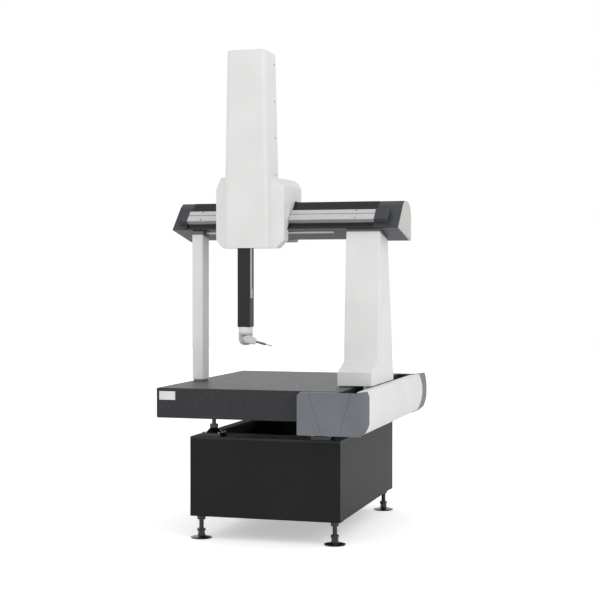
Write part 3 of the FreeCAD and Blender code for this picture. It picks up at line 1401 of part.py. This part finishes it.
def counterbalance_rod():
    """Fixed piston rod of the air counterbalance, hanging inside the ram."""
    rod = cylinder(ROD_R, MAST_TOP - PISTON_Z, (RAM_X, RAM_Y, PISTON_Z), (0, 0, 1))
    piston = cylinder(RAM_BORE_R - RUNNING_FIT, PISTON_H, (RAM_X, RAM_Y, PISTON_Z), (0, 0, 1))
    return rod.fuse(piston).removeSplitter()


def ram():
    """Square ram with its bore for the counterbalance and the belt clamp on its back."""
    half = RAM_W / 2
    bar = box(RAM_X - half, RAM_X + half, RAM_Y - half, RAM_Y + half, RAM_BOTTOM,
              RAM_BOTTOM + RAM_L)
    upright = [e for e in bar.Edges if e.BoundBox.ZLength > half * 3]
    bar = bar.makeChamfer(RAM_EDGE, upright)
    top = RAM_BOTTOM + RAM_L
    bore = cylinder(RAM_BORE_R, RAM_L - RAM_FLOOR - RAM_GLAND,
                    (RAM_X, RAM_Y, RAM_BOTTOM + RAM_FLOOR), (0, 0, 1))
    gland = cylinder(ROD_R + RUNNING_FIT, RAM_GLAND, (RAM_X, RAM_Y, top - RAM_GLAND),
                     (0, 0, 1))
    clamp_y = Z_BELT_Y - Z_PULLEY_R - Z_BELT_T - AIR_GAP - 1.5
    clamp = box(RAM_X - CLAMP_H / 2, RAM_X + CLAMP_H / 2, RAM_Y + half, clamp_y,
                top - 2 * CLAMP_H, top)
    return bar.fuse(clamp).cut(group([bore, gland]))


def z_scale():
    """Scale strip on the right side of the ram and the clip that fixes its lower end."""
    x = RAM_X + RAM_W / 2
    y = RAM_Y - RAM_W / 2 + Z_SCALE_INSET + 2
    low = RAM_BOTTOM + Z_SCALE_RISE
    strip = box(x, x + Z_SCALE_T, y, y + Z_SCALE_W, low + CLIP_H, RAM_BOTTOM + RAM_L)
    clip = box(x, x + CLIP_T, y, y + Z_SCALE_W, low, low + CLIP_H)
    return strip.fuse(clip).removeSplitter()


# ---------------------------------------------------------------- probe head
def head_adapter():
    """White collar between the ram and the head."""
    collar = cylinder(ADAPTER_R, ADAPTER_H, (RAM_X, RAM_Y, HEAD_TOP), (0, 0, 1))
    low = [e for e in collar.Edges if e.BoundBox.ZMax < HEAD_TOP + 1e-3]
    return collar.makeChamfer(1.5, low)


def tilt_axis():
    """Direction of the tilt axis, level and turned about the ram."""
    turn = math.radians(HEAD_TURN)
    return Vector(math.sin(turn), -math.cos(turn), 0)


def probe_axis():
    """Direction in which the probe points, square to the tilt axis."""
    turn = math.radians(HEAD_TURN)
    tilt = math.radians(HEAD_TILT)
    return Vector(math.cos(turn) * math.cos(tilt), math.sin(turn) * math.cos(tilt),
                  -math.sin(tilt))


def in_head(shape):
    """Shape modelled with the tilt axis along Z and the probe along X, put in its place."""
    return placed(shape, probe_axis(), tilt_axis(), (RAM_X, RAM_Y, TILT_Z))


def head_body():
    """Round upper half of the head with a domed cheek, cut away for the drum."""
    low = HEAD_TOP - HEAD_NECK_H - HEAD_DOME_H
    body = cylinder(HEAD_R, HEAD_TOP - low, (RAM_X, RAM_Y, low), (0, 0, 1))
    body = body.makeFillet(HEAD_DOME_H, [e for e in body.Edges if e.BoundBox.ZMax < low + 1])
    away = Part.makeBox(3 * HEAD_R, 3 * HEAD_R, 2 * HEAD_R,
                        Vector(-1.5 * HEAD_R, -1.5 * HEAD_R, DRUM_START - AIR_GAP))
    away = placed(away, (0, 0, 1), tilt_axis(), (RAM_X, RAM_Y, TILT_Z))
    below = box(RAM_X - 3 * HEAD_R, RAM_X + 3 * HEAD_R, RAM_Y - 3 * HEAD_R,
                RAM_Y + 3 * HEAD_R, TILT_Z - 3 * HEAD_R, HEAD_TOP - HEAD_SHOULDER)
    bore = cylinder(DRUM_PIN_R + RUNNING_FIT, DRUM_PIN_L + DRUM_START, (0, 0, -DRUM_PIN_L),
                    (0, 0, 1))
    return body.cut(away.common(below)).cut(in_head(bore))


def tilt_drum():
    """Tilting drum with its tapered nose and the bearing pin in the head."""
    drum = cylinder(DRUM_R, DRUM_L, (0, 0, DRUM_START), (0, 0, 1))
    lean = math.acos((DRUM_R - NOSE_R) / DRUM_NOSE)
    touch = (DRUM_R * math.cos(lean), DRUM_R * math.sin(lean))
    nose = prism_z([(0, 0), touch, (DRUM_NOSE, NOSE_R), (DRUM_NOSE, -NOSE_R),
                    (touch[0], -touch[1])], DRUM_START, DRUM_START + DRUM_L)
    pin = cylinder(DRUM_PIN_R, DRUM_PIN_L - 1 + DRUM_START, (0, 0, 1 - DRUM_PIN_L), (0, 0, 1))
    body = drum.fuse(nose).removeSplitter()
    rim = [e for e in body.Edges if e.BoundBox.ZLength < 1e-6 and
           abs(e.BoundBox.ZMin - DRUM_START - DRUM_L) < 1e-3]
    body = body.makeFillet(DRUM_EDGE_R, rim)
    return in_head(body.fuse(pin).removeSplitter())


def touch_module():
    """Swivel knuckle and touch-trigger module on the drum's nose."""
    z = DRUM_START + DRUM_L / 2
    knuckle = cylinder(KNUCKLE_R, KNUCKLE_L, (DRUM_NOSE, 0, z), (1, 0, 0))
    module = cylinder(MODULE_R, MODULE_L, (DRUM_NOSE + KNUCKLE_L, 0, z), (1, 0, 0))
    return in_head(knuckle.fuse(module).removeSplitter())


def stylus():
    """Thin stem with the ruby ball."""
    z = DRUM_START + DRUM_L / 2
    start = DRUM_NOSE + KNUCKLE_L + MODULE_L
    foot = cone(MODULE_R * 0.7, STEM_R, MODULE_R, (start, 0, z), (1, 0, 0))
    stem = cylinder(STEM_R, STEM_L, (start, 0, z), (1, 0, 0))
    ball = Part.makeSphere(BALL_R, Vector(start + STEM_L, 0, z))
    return in_head(foot.fuse([stem, ball]).removeSplitter())


# ---------------------------------------------------------------- assembly
NODES = [
    leveling_feet, leveling_nuts, stand_posts, stand_rails, stand_deck, stand_end_panels,
    stand_side_panels, jack_bases, jack_screws, jack_nuts, granite_table, table_inserts,
    y_guide_rail, y_scale, y_brackets, y_motor, y_belt, y_side_cover, y_front_cap, y_rear_cap,
    y_motor_pulley, y_idler_pulley,
    left_column, beam_spacers, right_leg_core, right_foot_cover, right_leg_front_cover,
    right_leg_rear_cover, y_truck, bridge_bearing_pads, beam_core, beam_guideways,
    beam_front_rail, x_scale, beam_left_cap, beam_right_cap, beam_end_plate, x_idler_bracket,
    x_motor, x_belt, x_motor_pulley, x_idler_pulley,
    carriage_frame, carriage_bearing_pads, carriage_cover, tower_cover, z_mast, z_motor,
    z_belt, counterbalance_rod, z_motor_pulley, z_idler_pulley,
    ram, z_scale, head_adapter, head_body, tilt_drum, touch_module, stylus]


def machine_shift(shapes):
    """Move that puts the origin on the floor under the centre of the whole machine."""
    bounds = FreeCAD.BoundBox()
    for shape in shapes:
        bounds.add(shape.optimalBoundingBox(True, False))
    return Vector(-bounds.Center.x, -bounds.Center.y, -bounds.ZMin)


def main():
    """Build every node, move it to the common origin and write it."""
    os.makedirs("parts", exist_ok=True)
    shapes = {make.__name__: make() for make in NODES}
    shift = machine_shift(shapes.values())
    for name, shape in shapes.items():
        moved = shape.copy()
        moved.translate(shift)
        moved.exportStep("parts/" + name + ".step")


main()
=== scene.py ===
# %% [markdown]
# # A bridge-type coordinate measuring machine
# The machine's solids come from the CAD step and are loaded as a fixed frame. This notebook
# gives every solid the finish of the real surface, adds the small fittings that a measuring
# machine carries, and sets up a camera, a floor and soft light. All places are in metres.

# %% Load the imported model
import json
import math
import bpy
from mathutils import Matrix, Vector


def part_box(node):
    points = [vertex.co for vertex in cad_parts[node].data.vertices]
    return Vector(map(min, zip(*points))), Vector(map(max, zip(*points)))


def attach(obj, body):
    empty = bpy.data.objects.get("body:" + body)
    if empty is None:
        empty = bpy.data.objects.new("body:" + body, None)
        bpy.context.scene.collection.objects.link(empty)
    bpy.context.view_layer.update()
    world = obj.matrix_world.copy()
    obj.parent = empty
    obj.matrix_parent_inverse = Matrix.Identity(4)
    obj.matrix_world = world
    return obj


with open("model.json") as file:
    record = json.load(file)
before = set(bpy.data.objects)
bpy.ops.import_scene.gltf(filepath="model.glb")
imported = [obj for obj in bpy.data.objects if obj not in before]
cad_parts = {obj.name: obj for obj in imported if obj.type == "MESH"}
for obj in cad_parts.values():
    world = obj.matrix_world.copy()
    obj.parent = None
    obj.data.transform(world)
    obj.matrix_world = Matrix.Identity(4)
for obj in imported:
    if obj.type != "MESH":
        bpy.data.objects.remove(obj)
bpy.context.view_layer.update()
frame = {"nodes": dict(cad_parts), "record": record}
slot_of = {part["node"]: part["material_slot"] for part in frame["record"]["subparts"]}
MM = 0.001
print("solids:", len(slot_of))

# %% [markdown]
# Colours are written as the hex values a colour picker shows. Those are sRGB, and a shader
# wants linear light, so one function turns them over. A second small function adds a node
# with its settings and links in one line, which keeps every material short enough to read.

# %% Colour and node helpers
def linear(code):
    """Linear RGBA of an sRGB hex colour."""
    values = [int(code[i:i + 2], 16) / 255 for i in (1, 3, 5)]
    return [v / 12.92 if v <= 0.04045 else ((v + 0.055) / 1.055) ** 2.4 for v in values] + [1]


def add_node(tree, kind, settings=None, inputs=None):
    """New node; settings are its properties, inputs its socket values or links."""
    node = tree.nodes.new(kind)
    for key, value in (settings or {}).items():
        setattr(node, key, value)
    for key, value in (inputs or {}).items():
        if isinstance(value, bpy.types.NodeSocket):
            tree.links.new(value, node.inputs[key])
        else:
            node.inputs[key].default_value = value
    return node


def new_material(name, colour, roughness, metallic=0.0, coat=0.0):
    """Material with one Principled shader; gives the tree, the shader and object coordinates."""
    material = bpy.data.materials.new(name)
    material.use_nodes = True
    material.diffuse_color = linear(colour)
    tree = material.node_tree
    shader = tree.nodes["Principled BSDF"]
    shader.inputs["Base Color"].default_value = linear(colour)
    shader.inputs["Roughness"].default_value = roughness
    shader.inputs["Metallic"].default_value = metallic
    shader.inputs["Coat Weight"].default_value = coat
    place = add_node(tree, "ShaderNodeTexCoord").outputs["Object"]
    return material, tree, shader, place


def vary(tree, shader, fac, dark, light, low=0.3, high=0.7):
    """Base colour that runs between two hex colours along a pattern."""
    ramp = add_node(tree, "ShaderNodeValToRGB", inputs={"Fac": fac})
    ramp.color_ramp.elements[0].position = low
    ramp.color_ramp.elements[1].position = high
    ramp.color_ramp.elements[0].color = linear(dark)
    ramp.color_ramp.elements[1].color = linear(light)
    tree.links.new(ramp.outputs["Color"], shader.inputs["Base Color"])
    return ramp


def spread(tree, shader, fac, low, high):
    """Roughness that runs between two values along a pattern."""
    span = add_node(tree, "ShaderNodeMapRange", inputs={
        "Value": fac, "To Min": low, "To Max": high})
    tree.links.new(span.outputs["Result"], shader.inputs["Roughness"])


def bump(tree, shader, height, depth_mm, strength=1.0):
    """Surface relief from a pattern, its depth in millimetres."""
    node = add_node(tree, "ShaderNodeBump", inputs={
        "Height": height, "Distance": depth_mm * MM, "Strength": strength})
    tree.links.new(node.outputs["Normal"], shader.inputs["Normal"])


def noise(tree, place, grain_mm, detail=3.0, stretch=(1, 1, 1)):
    """Noise whose grain has a real size in millimetres, drawn out along chosen axes."""
    scaled = add_node(tree, "ShaderNodeMapping", inputs={"Vector": place, "Scale": stretch})
    node = add_node(tree, "ShaderNodeTexNoise", inputs={
        "Vector": scaled.outputs["Vector"], "Scale": 1 / (grain_mm * MM), "Detail": detail})
    return node.outputs["Fac"]

# %% [markdown]
# ## Painted sheet and castings
# The covers are sheet and casting sprayed with satin two-part paint. Sprayed paint is never
# quite flat: it has a soft orange peel about a millimetre across, and its gloss wanders a
# little over a hand's width. The orange peel is drawn at 4 mm so that it shows at all.

# %% White cover paint
def sprayed_paint(name, dark, light, roughness, peel_mm=4.0, depth=0.02):
    """Satin sprayed paint: faint cloudiness, orange peel, wandering gloss."""
    material, tree, shader, place = new_material(name, light, roughness)
    shader.inputs["IOR"].default_value = 1.5
    cloud = noise(tree, place, 180, 2)
    vary(tree, shader, cloud, dark, light)
    spread(tree, shader, cloud, roughness - 0.05, roughness + 0.06)
    bump(tree, shader, noise(tree, place, peel_mm, 1), depth)
    return material


FINISH = {}
FINISH["white_cover"] = sprayed_paint("satin_white_paint", "#E6E6E5", "#ECECEB", 0.42)
FINISH["white_collar"] = sprayed_paint("white_collar_paint", "#EDEDED", "#F4F4F3", 0.38)

# %% [markdown]
# The stand and its deck are powder coated. Powder melts to a fine pebbled skin, glossier on
# the small castings of feet and jacks, which are enamelled and catch sharp highlights.

# %% Black coats
def powder_coat(name, dark, light, roughness):
    """Pebbled powder coat; pebbles of 1 mm drawn at 3 mm."""
    material, tree, shader, place = new_material(name, light, roughness)
    shader.inputs["Specular IOR Level"].default_value = 0.25
    pebble = noise(tree, place, 3.0, 2)
    vary(tree, shader, noise(tree, place, 240, 3), dark, light)
    spread(tree, shader, pebble, roughness - 0.06, roughness + 0.08)
    bump(tree, shader, pebble, 0.05)
    return material


def gloss_enamel(name, colour, warm):
    """Brushed-on gloss enamel over steel, with slow thickness waves."""
    material, tree, shader, place = new_material(name, colour, 0.16, coat=0.5)
    shader.inputs["Coat Roughness"].default_value = 0.08
    wave = noise(tree, place, 22, 2)
    vary(tree, shader, wave, colour, warm)
    bump(tree, shader, wave, 0.15)
    return material


FINISH["stand_black"] = powder_coat("black_powder_coat", "#111214", "#17181A", 0.46)
FINISH["stand_deck_grey"] = powder_coat("deck_powder_coat", "#2A2B2C", "#323334", 0.45)
FINISH["motor_black"] = powder_coat("motor_powder_coat", "#18191A", "#202123", 0.5)
FINISH["gloss_black_steel"] = gloss_enamel("gloss_black_enamel", "#0E0F10", "#18191A")

# %% [markdown]
# ## Granite
# The table is lapped gabbro, sold as black granite. Close up it is a packed mosaic of dark
# crystals with paler flecks of feldspar, 1 to 4 mm across. A Voronoi cell pattern makes the
# crystals, and the peaks of a rough noise make the flecks. The lapped surface stays smooth.

# %% Black granite
CRYSTAL_MM = 3
FLECK_MM = 4


def granite(name, dark, mid, fleck, roughness):
    """Speckled lapped stone."""
    material, tree, shader, place = new_material(name, mid, roughness)
    shader.inputs["Specular IOR Level"].default_value = 0.3
    crystal = add_node(tree, "ShaderNodeTexVoronoi", inputs={
        "Vector": place, "Scale": 1 / (CRYSTAL_MM * MM)})
    grey = add_node(tree, "ShaderNodeRGBToBW", inputs={"Color": crystal.outputs["Color"]})
    ramp = vary(tree, shader, grey.outputs["Val"], dark, mid, 0.2, 0.8)
    pale = add_node(tree, "ShaderNodeTexNoise", inputs={
        "Vector": place, "Scale": 1 / (FLECK_MM * MM), "Detail": 4.0, "Roughness": 0.7})
    mask = add_node(tree, "ShaderNodeMapRange", inputs={
        "Value": pale.outputs["Fac"], "From Min": 0.56, "From Max": 0.68})
    mix = add_node(tree, "ShaderNodeMix", {"data_type": "RGBA"}, {"Factor": mask.outputs["Result"]})
    tree.links.new(ramp.outputs["Color"], mix.inputs[6])
    mix.inputs[7].default_value = linear(fleck)
    tree.links.new(mix.outputs[2], shader.inputs["Base Color"])
    spread(tree, shader, pale.outputs["Fac"], roughness - 0.05, roughness + 0.1)
    return material


FINISH["black_granite"] = granite("lapped_black_granite", "#232427", "#35363A", "#5E5F63", 0.34)
FINISH["guide_granite"] = granite("guide_black_granite", "#2A2B2D", "#3D3E41", "#707174", 0.3)

# %% [markdown]
# ## Metals
# Extrusions and tapes are drawn or brushed along their length, so their streaks are stretched
# noise. A bare metal keeps its colour in the reflection, so metallic is 1 and roughness does
# the rest. A thick anodised layer hides most of the metal, so metallic drops towards 0.

# %% Brushed and anodised metal
def drawn_metal(name, dark, light, roughness, along=0, metallic=1.0, streak=60):
    """Metal with fine lengthwise streaks along one axis of the machine."""
    material, tree, shader, place = new_material(name, light, roughness, metallic)
    stretch = [1.0, 1.0, 1.0]
    stretch[along] = 1 / streak
    grain = noise(tree, place, 1.6, 2, stretch)
    vary(tree, shader, grain, dark, light)
    spread(tree, shader, grain, roughness - 0.06, roughness + 0.08)
    bump(tree, shader, grain, 0.008)
    return material


FINISH["machined_aluminium"] = drawn_metal("drawn_aluminium", "#CDCECF", "#DCDDDE", 0.42, 0, 0.6)
FINISH["bearing_aluminium"] = drawn_metal("hard_anodised_aluminium", "#7E8082", "#8C8E90", 0.42, 0)
FINISH["scale_steel"] = drawn_metal("satin_steel_tape", "#AEB0B1", "#C2C4C5", 0.3, 2)
FINISH["bright_steel"] = drawn_metal("turned_steel", "#A9ABAD", "#BDBFC1", 0.28, 2)
FINISH["module_steel"] = drawn_metal("satin_probe_steel", "#7E8083", "#909295", 0.34, 2, 1.0, 8)
FINISH["anodised_dark"] = drawn_metal("dark_anodised_beam", "#1A1B1C", "#232426", 0.4, 0, 0.3)
FINISH["spacer_black"] = drawn_metal("grey_anodised_pad", "#6A6B6C", "#7A7B7C", 0.45, 0, 0.3)
FINISH["anodised_black"] = drawn_metal("black_anodised_ram", "#0C0C0C", "#131313", 0.42, 2, 0.0)
FINISH["head_grey"] = sprayed_paint("head_grey_paint", "#C4C6C7", "#CFD1D2", 0.36, 2.0)
FINISH["head_light_grey"] = sprayed_paint("drum_light_grey_paint", "#DADBDB", "#E4E5E5", 0.34, 2.0)

# %% [markdown]
# ## Plastics, ceramic and rubber
# The end caps are moulded ABS with a spark-eroded texture, a mesh of tiny pits. The guide
# strips are black ceramic ground so smooth that they mirror the room. Their IOR is set lower
# than the ceramic's own, because at its real value the pale room washes the black out.

# %% Moulded caps, ceramic, rubber
def textured_abs(name, dark, light, roughness):
    """Moulded plastic with a fine pitted texture; pits of 0.4 mm drawn at 2 mm."""
    material, tree, shader, place = new_material(name, light, roughness)
    pits = noise(tree, place, 2.0, 1)
    vary(tree, shader, noise(tree, place, 200, 2), dark, light)
    spread(tree, shader, pits, roughness - 0.05, roughness + 0.07)
    bump(tree, shader, pits, 0.04)
    return material


def ground_ceramic(name, dark, light):
    """Mirror-ground ceramic with a faint lengthwise lay."""
    material, tree, shader, place = new_material(name, light, 0.12)
    shader.inputs["IOR"].default_value = 1.45
    lay = noise(tree, place, 2.0, 2, (0.02, 1, 1))
    vary(tree, shader, lay, dark, light)
    spread(tree, shader, lay, 0.08, 0.2)
    return material


FINISH["drive_cap_grey"] = textured_abs("moulded_mid_grey_abs", "#696E73", "#71767B", 0.45)
FINISH["beam_cap_grey"] = textured_abs("moulded_dark_grey_abs", "#34363B", "#3C3E44", 0.45)
FINISH["light_plastic"] = textured_abs("moulded_light_grey_abs", "#C2C2BE", "#CACAC6", 0.5)
FINISH["belt_rubber"] = textured_abs("matt_belt_rubber", "#171718", "#1F1F20", 0.75)
FINISH["black_ceramic"] = ground_ceramic("ground_black_ceramic", "#08090A", "#0E0F10")

# %% [markdown]
# The stylus is one turned steel stem with a ruby ball. The ball is part of the same solid, so
# its red comes from the distance to its centre: inside a small sphere the colour is ruby.

# %% Stylus with its ruby ball
def ruby_tipped_steel(centre, radius):
    """Turned steel that becomes ruby within a radius of a point."""
    material, tree, shader, place = new_material("steel_stem_ruby_ball", "#A9ABAD", 0.2)
    gap = add_node(tree, "ShaderNodeVectorMath", {"operation": "DISTANCE"}, {0: place, 1: centre})
    inside = add_node(tree, "ShaderNodeMath", {"operation": "LESS_THAN"}, {
        0: gap.outputs["Value"], 1: radius})
    tint = noise(tree, place, 3, 2)
    mix = add_node(tree, "ShaderNodeMix", {"data_type": "RGBA"}, {"Factor": inside.outputs[0]})
    steel = add_node(tree, "ShaderNodeValToRGB", inputs={"Fac": tint})
    steel.color_ramp.elements[0].color = linear("#9C9EA0")
    steel.color_ramp.elements[1].color = linear("#B4B6B8")
    tree.links.new(steel.outputs["Color"], mix.inputs[6])
    mix.inputs[7].default_value = linear("#A01428")
    tree.links.new(mix.outputs[2], shader.inputs["Base Color"])
    metal = add_node(tree, "ShaderNodeMath", {"operation": "SUBTRACT"}, {
        0: 1.0, 1: inside.outputs[0]})
    tree.links.new(metal.outputs[0], shader.inputs["Metallic"])
    return material


BALL_RADIUS = 3 * MM
tip_low, tip_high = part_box("stylus")
ball_centre = Vector((tip_high.x - BALL_RADIUS, tip_high.y - BALL_RADIUS,
                      tip_low.z + BALL_RADIUS))
ruby_tip = ruby_tipped_steel(ball_centre, BALL_RADIUS * 1.06)
print("ruby ball at", [round(value, 4) for value in ball_centre])

# %% [markdown]
# Every solid now gets the finish that the record names for it. The jacks' screws and nuts are
# blackened like their bases, and the stylus takes its own two-part material.

# %% Finishes on the solids
slot_of.update({"jack_screws": "gloss_black_steel", "jack_nuts": "gloss_black_steel"})
for node, slot in slot_of.items():
    data = frame["nodes"][node].data
    data.materials.clear()
    data.materials.append(FINISH[slot])
stylus = frame["nodes"]["stylus"].data
stylus.materials.clear()
stylus.materials.append(ruby_tip)
print("finishes:", len(FINISH))

# %% [markdown]
# ## Small fittings
# The fittings below are too small for the solids: bolts, screws and a bare rating plate. Each
# is modelled at the origin of the machine's frame and handed to the moving body that carries
# it. A ray cast at the solid finds the spot and the direction of the surface, so that every
# fitting sits on what holds it.

# %% Helpers for the fittings
def deselect():
    """Nothing selected, so that an operator only meets the new piece."""
    bpy.ops.object.select_all(action="DESELECT")


def seat(node, start, aim):
    """Point and outward normal where a ray meets a solid of the frame."""
    hit, point, normal, _ = frame["nodes"][node].ray_cast(Vector(start), Vector(aim).normalized())
    if not hit:
        raise RuntimeError("no seat on " + node)
    return point, normal


def select_faces_along(direction):
    """In edit mode, only the faces that look along a direction."""
    bpy.ops.mesh.select_all(action="DESELECT")
    bpy.ops.object.mode_set(mode="OBJECT")
    for face in bpy.context.object.data.polygons:
        face.select = face.normal.dot(direction) > 0.99
    bpy.ops.object.mode_set(mode="EDIT")


def turned_head(name, body, place, normal, sides, radius, height, socket, material):
    """Screw or bolt head on a surface: a turned disc with bevelled rim and sunk socket."""
    deselect()
    bpy.ops.mesh.primitive_cylinder_add(vertices=sides, radius=radius, depth=height)
    piece = bpy.context.object
    piece.name = name
    bpy.ops.object.mode_set(mode="EDIT")
    bpy.ops.mesh.select_mode(type="FACE")
    select_faces_along(Vector((0, 0, 1)))
    bpy.ops.mesh.bevel(offset=radius * 0.14, segments=2, affect="EDGES")
    select_faces_along(Vector((0, 0, 1)))
    bpy.ops.mesh.inset(thickness=radius * socket)
    bpy.ops.transform.translate(value=(0, 0, -height * 0.5))
    bpy.ops.mesh.select_all(action="SELECT")
    bpy.ops.mesh.normals_make_consistent(inside=False)
    bpy.ops.object.mode_set(mode="OBJECT")
    piece.rotation_euler = normal.to_track_quat("Z", "Y").to_euler()
    piece.location = place + normal * (height * 0.5)
    bpy.ops.object.transform_apply(location=True, rotation=True, scale=True)
    piece.data.materials.append(material)
    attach(piece, body)
    return piece


# Zinc plating dulls steel to a soft grey; blackening leaves an oiled, glossy dark skin.
screw_steel = drawn_metal("zinc_plated_screw", "#8C8E90", "#A4A6A8", 0.35, 2)
bolt_black = gloss_enamel("blackened_bolt", "#1E1F20", "#2C2D2E")

# %% [markdown]
# Each jack's flange is held down on the deck by four hexagon bolts, one in each corner. The
# dimple in a rolled bolt head is the inset face, pushed down.

# %% Jack bolts
JACKS = ((-0.307, -0.598), (0.333, -0.598), (0.013, 0.598))
CORNERS = ((-1, -1), (1, -1), (1, 1), (-1, 1))
BOLT_OFFSET = 0.046
ABOVE_FLANGE = 0.66
for number, (x, y) in enumerate(JACKS):
    for corner, (sx, sy) in enumerate(CORNERS):
        start = (x + BOLT_OFFSET * sx, y + BOLT_OFFSET * sy, ABOVE_FLANGE)
        place, normal = seat("jack_bases", start, (0, 0, -1))
        turned_head("jack_bolt_" + str(4 * number + corner + 1), "machine_base", place, normal,
                    sides=6, radius=0.0085, height=0.006, socket=0.35, material=screw_steel)

# %% [markdown]
# The tall cover over the ram is held by button screws along the rear edge of both its sides.

# %% Tower screws
TOWER_SCREW_Y = -0.2
TOWER_SCREW_LOW = 2.085
TOWER_SCREW_PITCH = 0.215
for side, x in enumerate((0.3, -0.7)):
    for row in range(4):
        start = (x, TOWER_SCREW_Y, TOWER_SCREW_LOW + TOWER_SCREW_PITCH * row)
        place, normal = seat("tower_cover", start, (-1 if x > 0 else 1, 0, 0))
        turned_head("tower_screw_" + str(4 * side + row + 1), "carriage", place, normal,
                    sides=20, radius=0.004, height=0.0022, socket=0.45, material=bolt_black)

# %% [markdown]
# Two countersunk screws fix each end of the bright front rail. Their heads stand proud by
# less than a millimetre, well inside the gap under the carriage cover.

# %% Rail screws
OUT = Vector((0, -1, 1)).normalized()
RAIL_ENDS = (-0.5225, 0.4215)
RAIL_ROWS = ((-0.2274, 1.8238), (-0.1821, 1.8691))
STAND_OFF = 0.06
for number, x in enumerate(RAIL_ENDS):
    for row, (y, z) in enumerate(RAIL_ROWS):
        place, normal = seat("beam_front_rail", Vector((x, y, z)) + OUT * STAND_OFF, -OUT)
        turned_head("rail_screw_" + str(2 * number + row + 1), "bridge", place, normal,
                    sides=20, radius=0.0045, height=0.0008, socket=0.4, material=bolt_black)

# %% [markdown]
# A thin aluminium rating plate is stuck on the front of the table near its left end. It is
# left bare. The raised rim comes from an inset face that is pushed in by a third of a
# millimetre.

# %% Rating plate
PLATE_CENTRE = (-0.527, -0.7605, 0.818)
PLATE_SIZE = (0.095, 0.001, 0.048)
RIM_WIDTH = 0.004
RIM_SLOPE = 0.0006
RIM_DEPTH = 0.0003
deselect()
bpy.ops.mesh.primitive_cube_add(size=1, location=PLATE_CENTRE, scale=PLATE_SIZE)
plate = bpy.context.object
plate.name = "rating_plate"
bpy.ops.object.transform_apply(location=True, rotation=True, scale=True)
bpy.ops.object.mode_set(mode="EDIT")
bpy.ops.mesh.select_mode(type="FACE")
select_faces_along(Vector((0, -1, 0)))
bpy.ops.mesh.inset(thickness=RIM_WIDTH)
bpy.ops.mesh.inset(thickness=RIM_SLOPE)
bpy.ops.transform.translate(value=(0, RIM_DEPTH, 0))
bpy.ops.object.mode_set(mode="OBJECT")
plate.data.materials.append(sprayed_paint("white_lacquered_plate", "#DADADA", "#E8E8E8", 0.4))
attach(plate, "machine_base")

# %% [markdown]
# ## Camera, floor and light
# The camera stands to the right of the front at eye height, with a long lens, and looks
# almost level. The floor is white and only keeps the soft shadow. A large soft light hangs on
# the right and a weaker one on the left, and the pale room fills what is left.

# %% Camera
camera_data = bpy.data.cameras.new("camera")
camera_data.sensor_width = 36.0
camera_data.lens = 83.22
camera_data.clip_end = 60.0
camera = bpy.data.objects.new("camera", camera_data)
camera.location = (2.3447, -8.0117, 1.4722)
camera.rotation_euler = (math.radians(90 - 0.88), 0, math.radians(16.13))
bpy.context.collection.objects.link(camera)
bpy.context.scene.camera = camera

# %% [markdown]
# The floor is a white sweep. Lit by the room alone it would look grey, so it gives a little
# light of its own to the camera, and the machine's shadow stays on it.

# %% Floor
deselect()
bpy.ops.mesh.primitive_plane_add(size=40, location=(0, 0, 0))
floor = bpy.context.object
floor.name = "floor"
floor_material, tree, shader, place = new_material("pale_floor", "#FFFFFF", 0.9)
light_path = add_node(tree, "ShaderNodeLightPath")
glow = add_node(tree, "ShaderNodeMath", {"operation": "MULTIPLY"}, {
    0: light_path.outputs["Is Camera Ray"], 1: 0.42})
shader.inputs["Emission Color"].default_value = linear("#FFFFFF")
tree.links.new(glow.outputs[0], shader.inputs["Emission Strength"])
floor.data.materials.append(floor_material)

# %% [markdown]
# Two square area lights shape the white covers. The room itself lights the rest a little more
# weakly than the camera sees it, so that white paint stays below pure white.

# %% Light
def soft_light(name, place, aim, size, power):
    """Square soft light that looks at a point."""
    data = bpy.data.lights.new(name, "AREA")
    data.size = size
    data.energy = power
    lamp = bpy.data.objects.new(name, data)
    lamp.location = place
    lamp.rotation_euler = (Vector(aim) - Vector(place)).to_track_quat("-Z", "Y").to_euler()
    bpy.context.collection.objects.link(lamp)


soft_light("key_right", (5.5, -3.5, 4.2), (0, 0, 1.2), 3.5, 75)
soft_light("fill_left", (-4.5, -5.0, 3.2), (0, 0, 1.2), 4.0, 25)
world = bpy.data.worlds.new("room")
bpy.context.scene.world = world
world.use_nodes = True
tree = world.node_tree
tree.nodes.clear()
path = add_node(tree, "ShaderNodeLightPath")
room = add_node(tree, "ShaderNodeBackground", inputs={"Color": linear("#FFFFFF"), "Strength": 0.8})
seen = add_node(tree, "ShaderNodeBackground", inputs={"Color": linear("#FFFFFF"), "Strength": 1.0})
shown = add_node(tree, "ShaderNodeMath", {"operation": "MAXIMUM"}, {
    0: path.outputs["Is Camera Ray"], 1: path.outputs["Is Transmission Ray"]})
both = add_node(tree, "ShaderNodeMixShader", inputs={"Fac": shown.outputs[0]})
tree.links.new(room.outputs[0], both.inputs[1])
tree.links.new(seen.outputs[0], both.inputs[2])
add_node(tree, "ShaderNodeOutputWorld", inputs={"Surface": both.outputs[0]})
bpy.context.scene.view_settings.view_transform = "Standard"
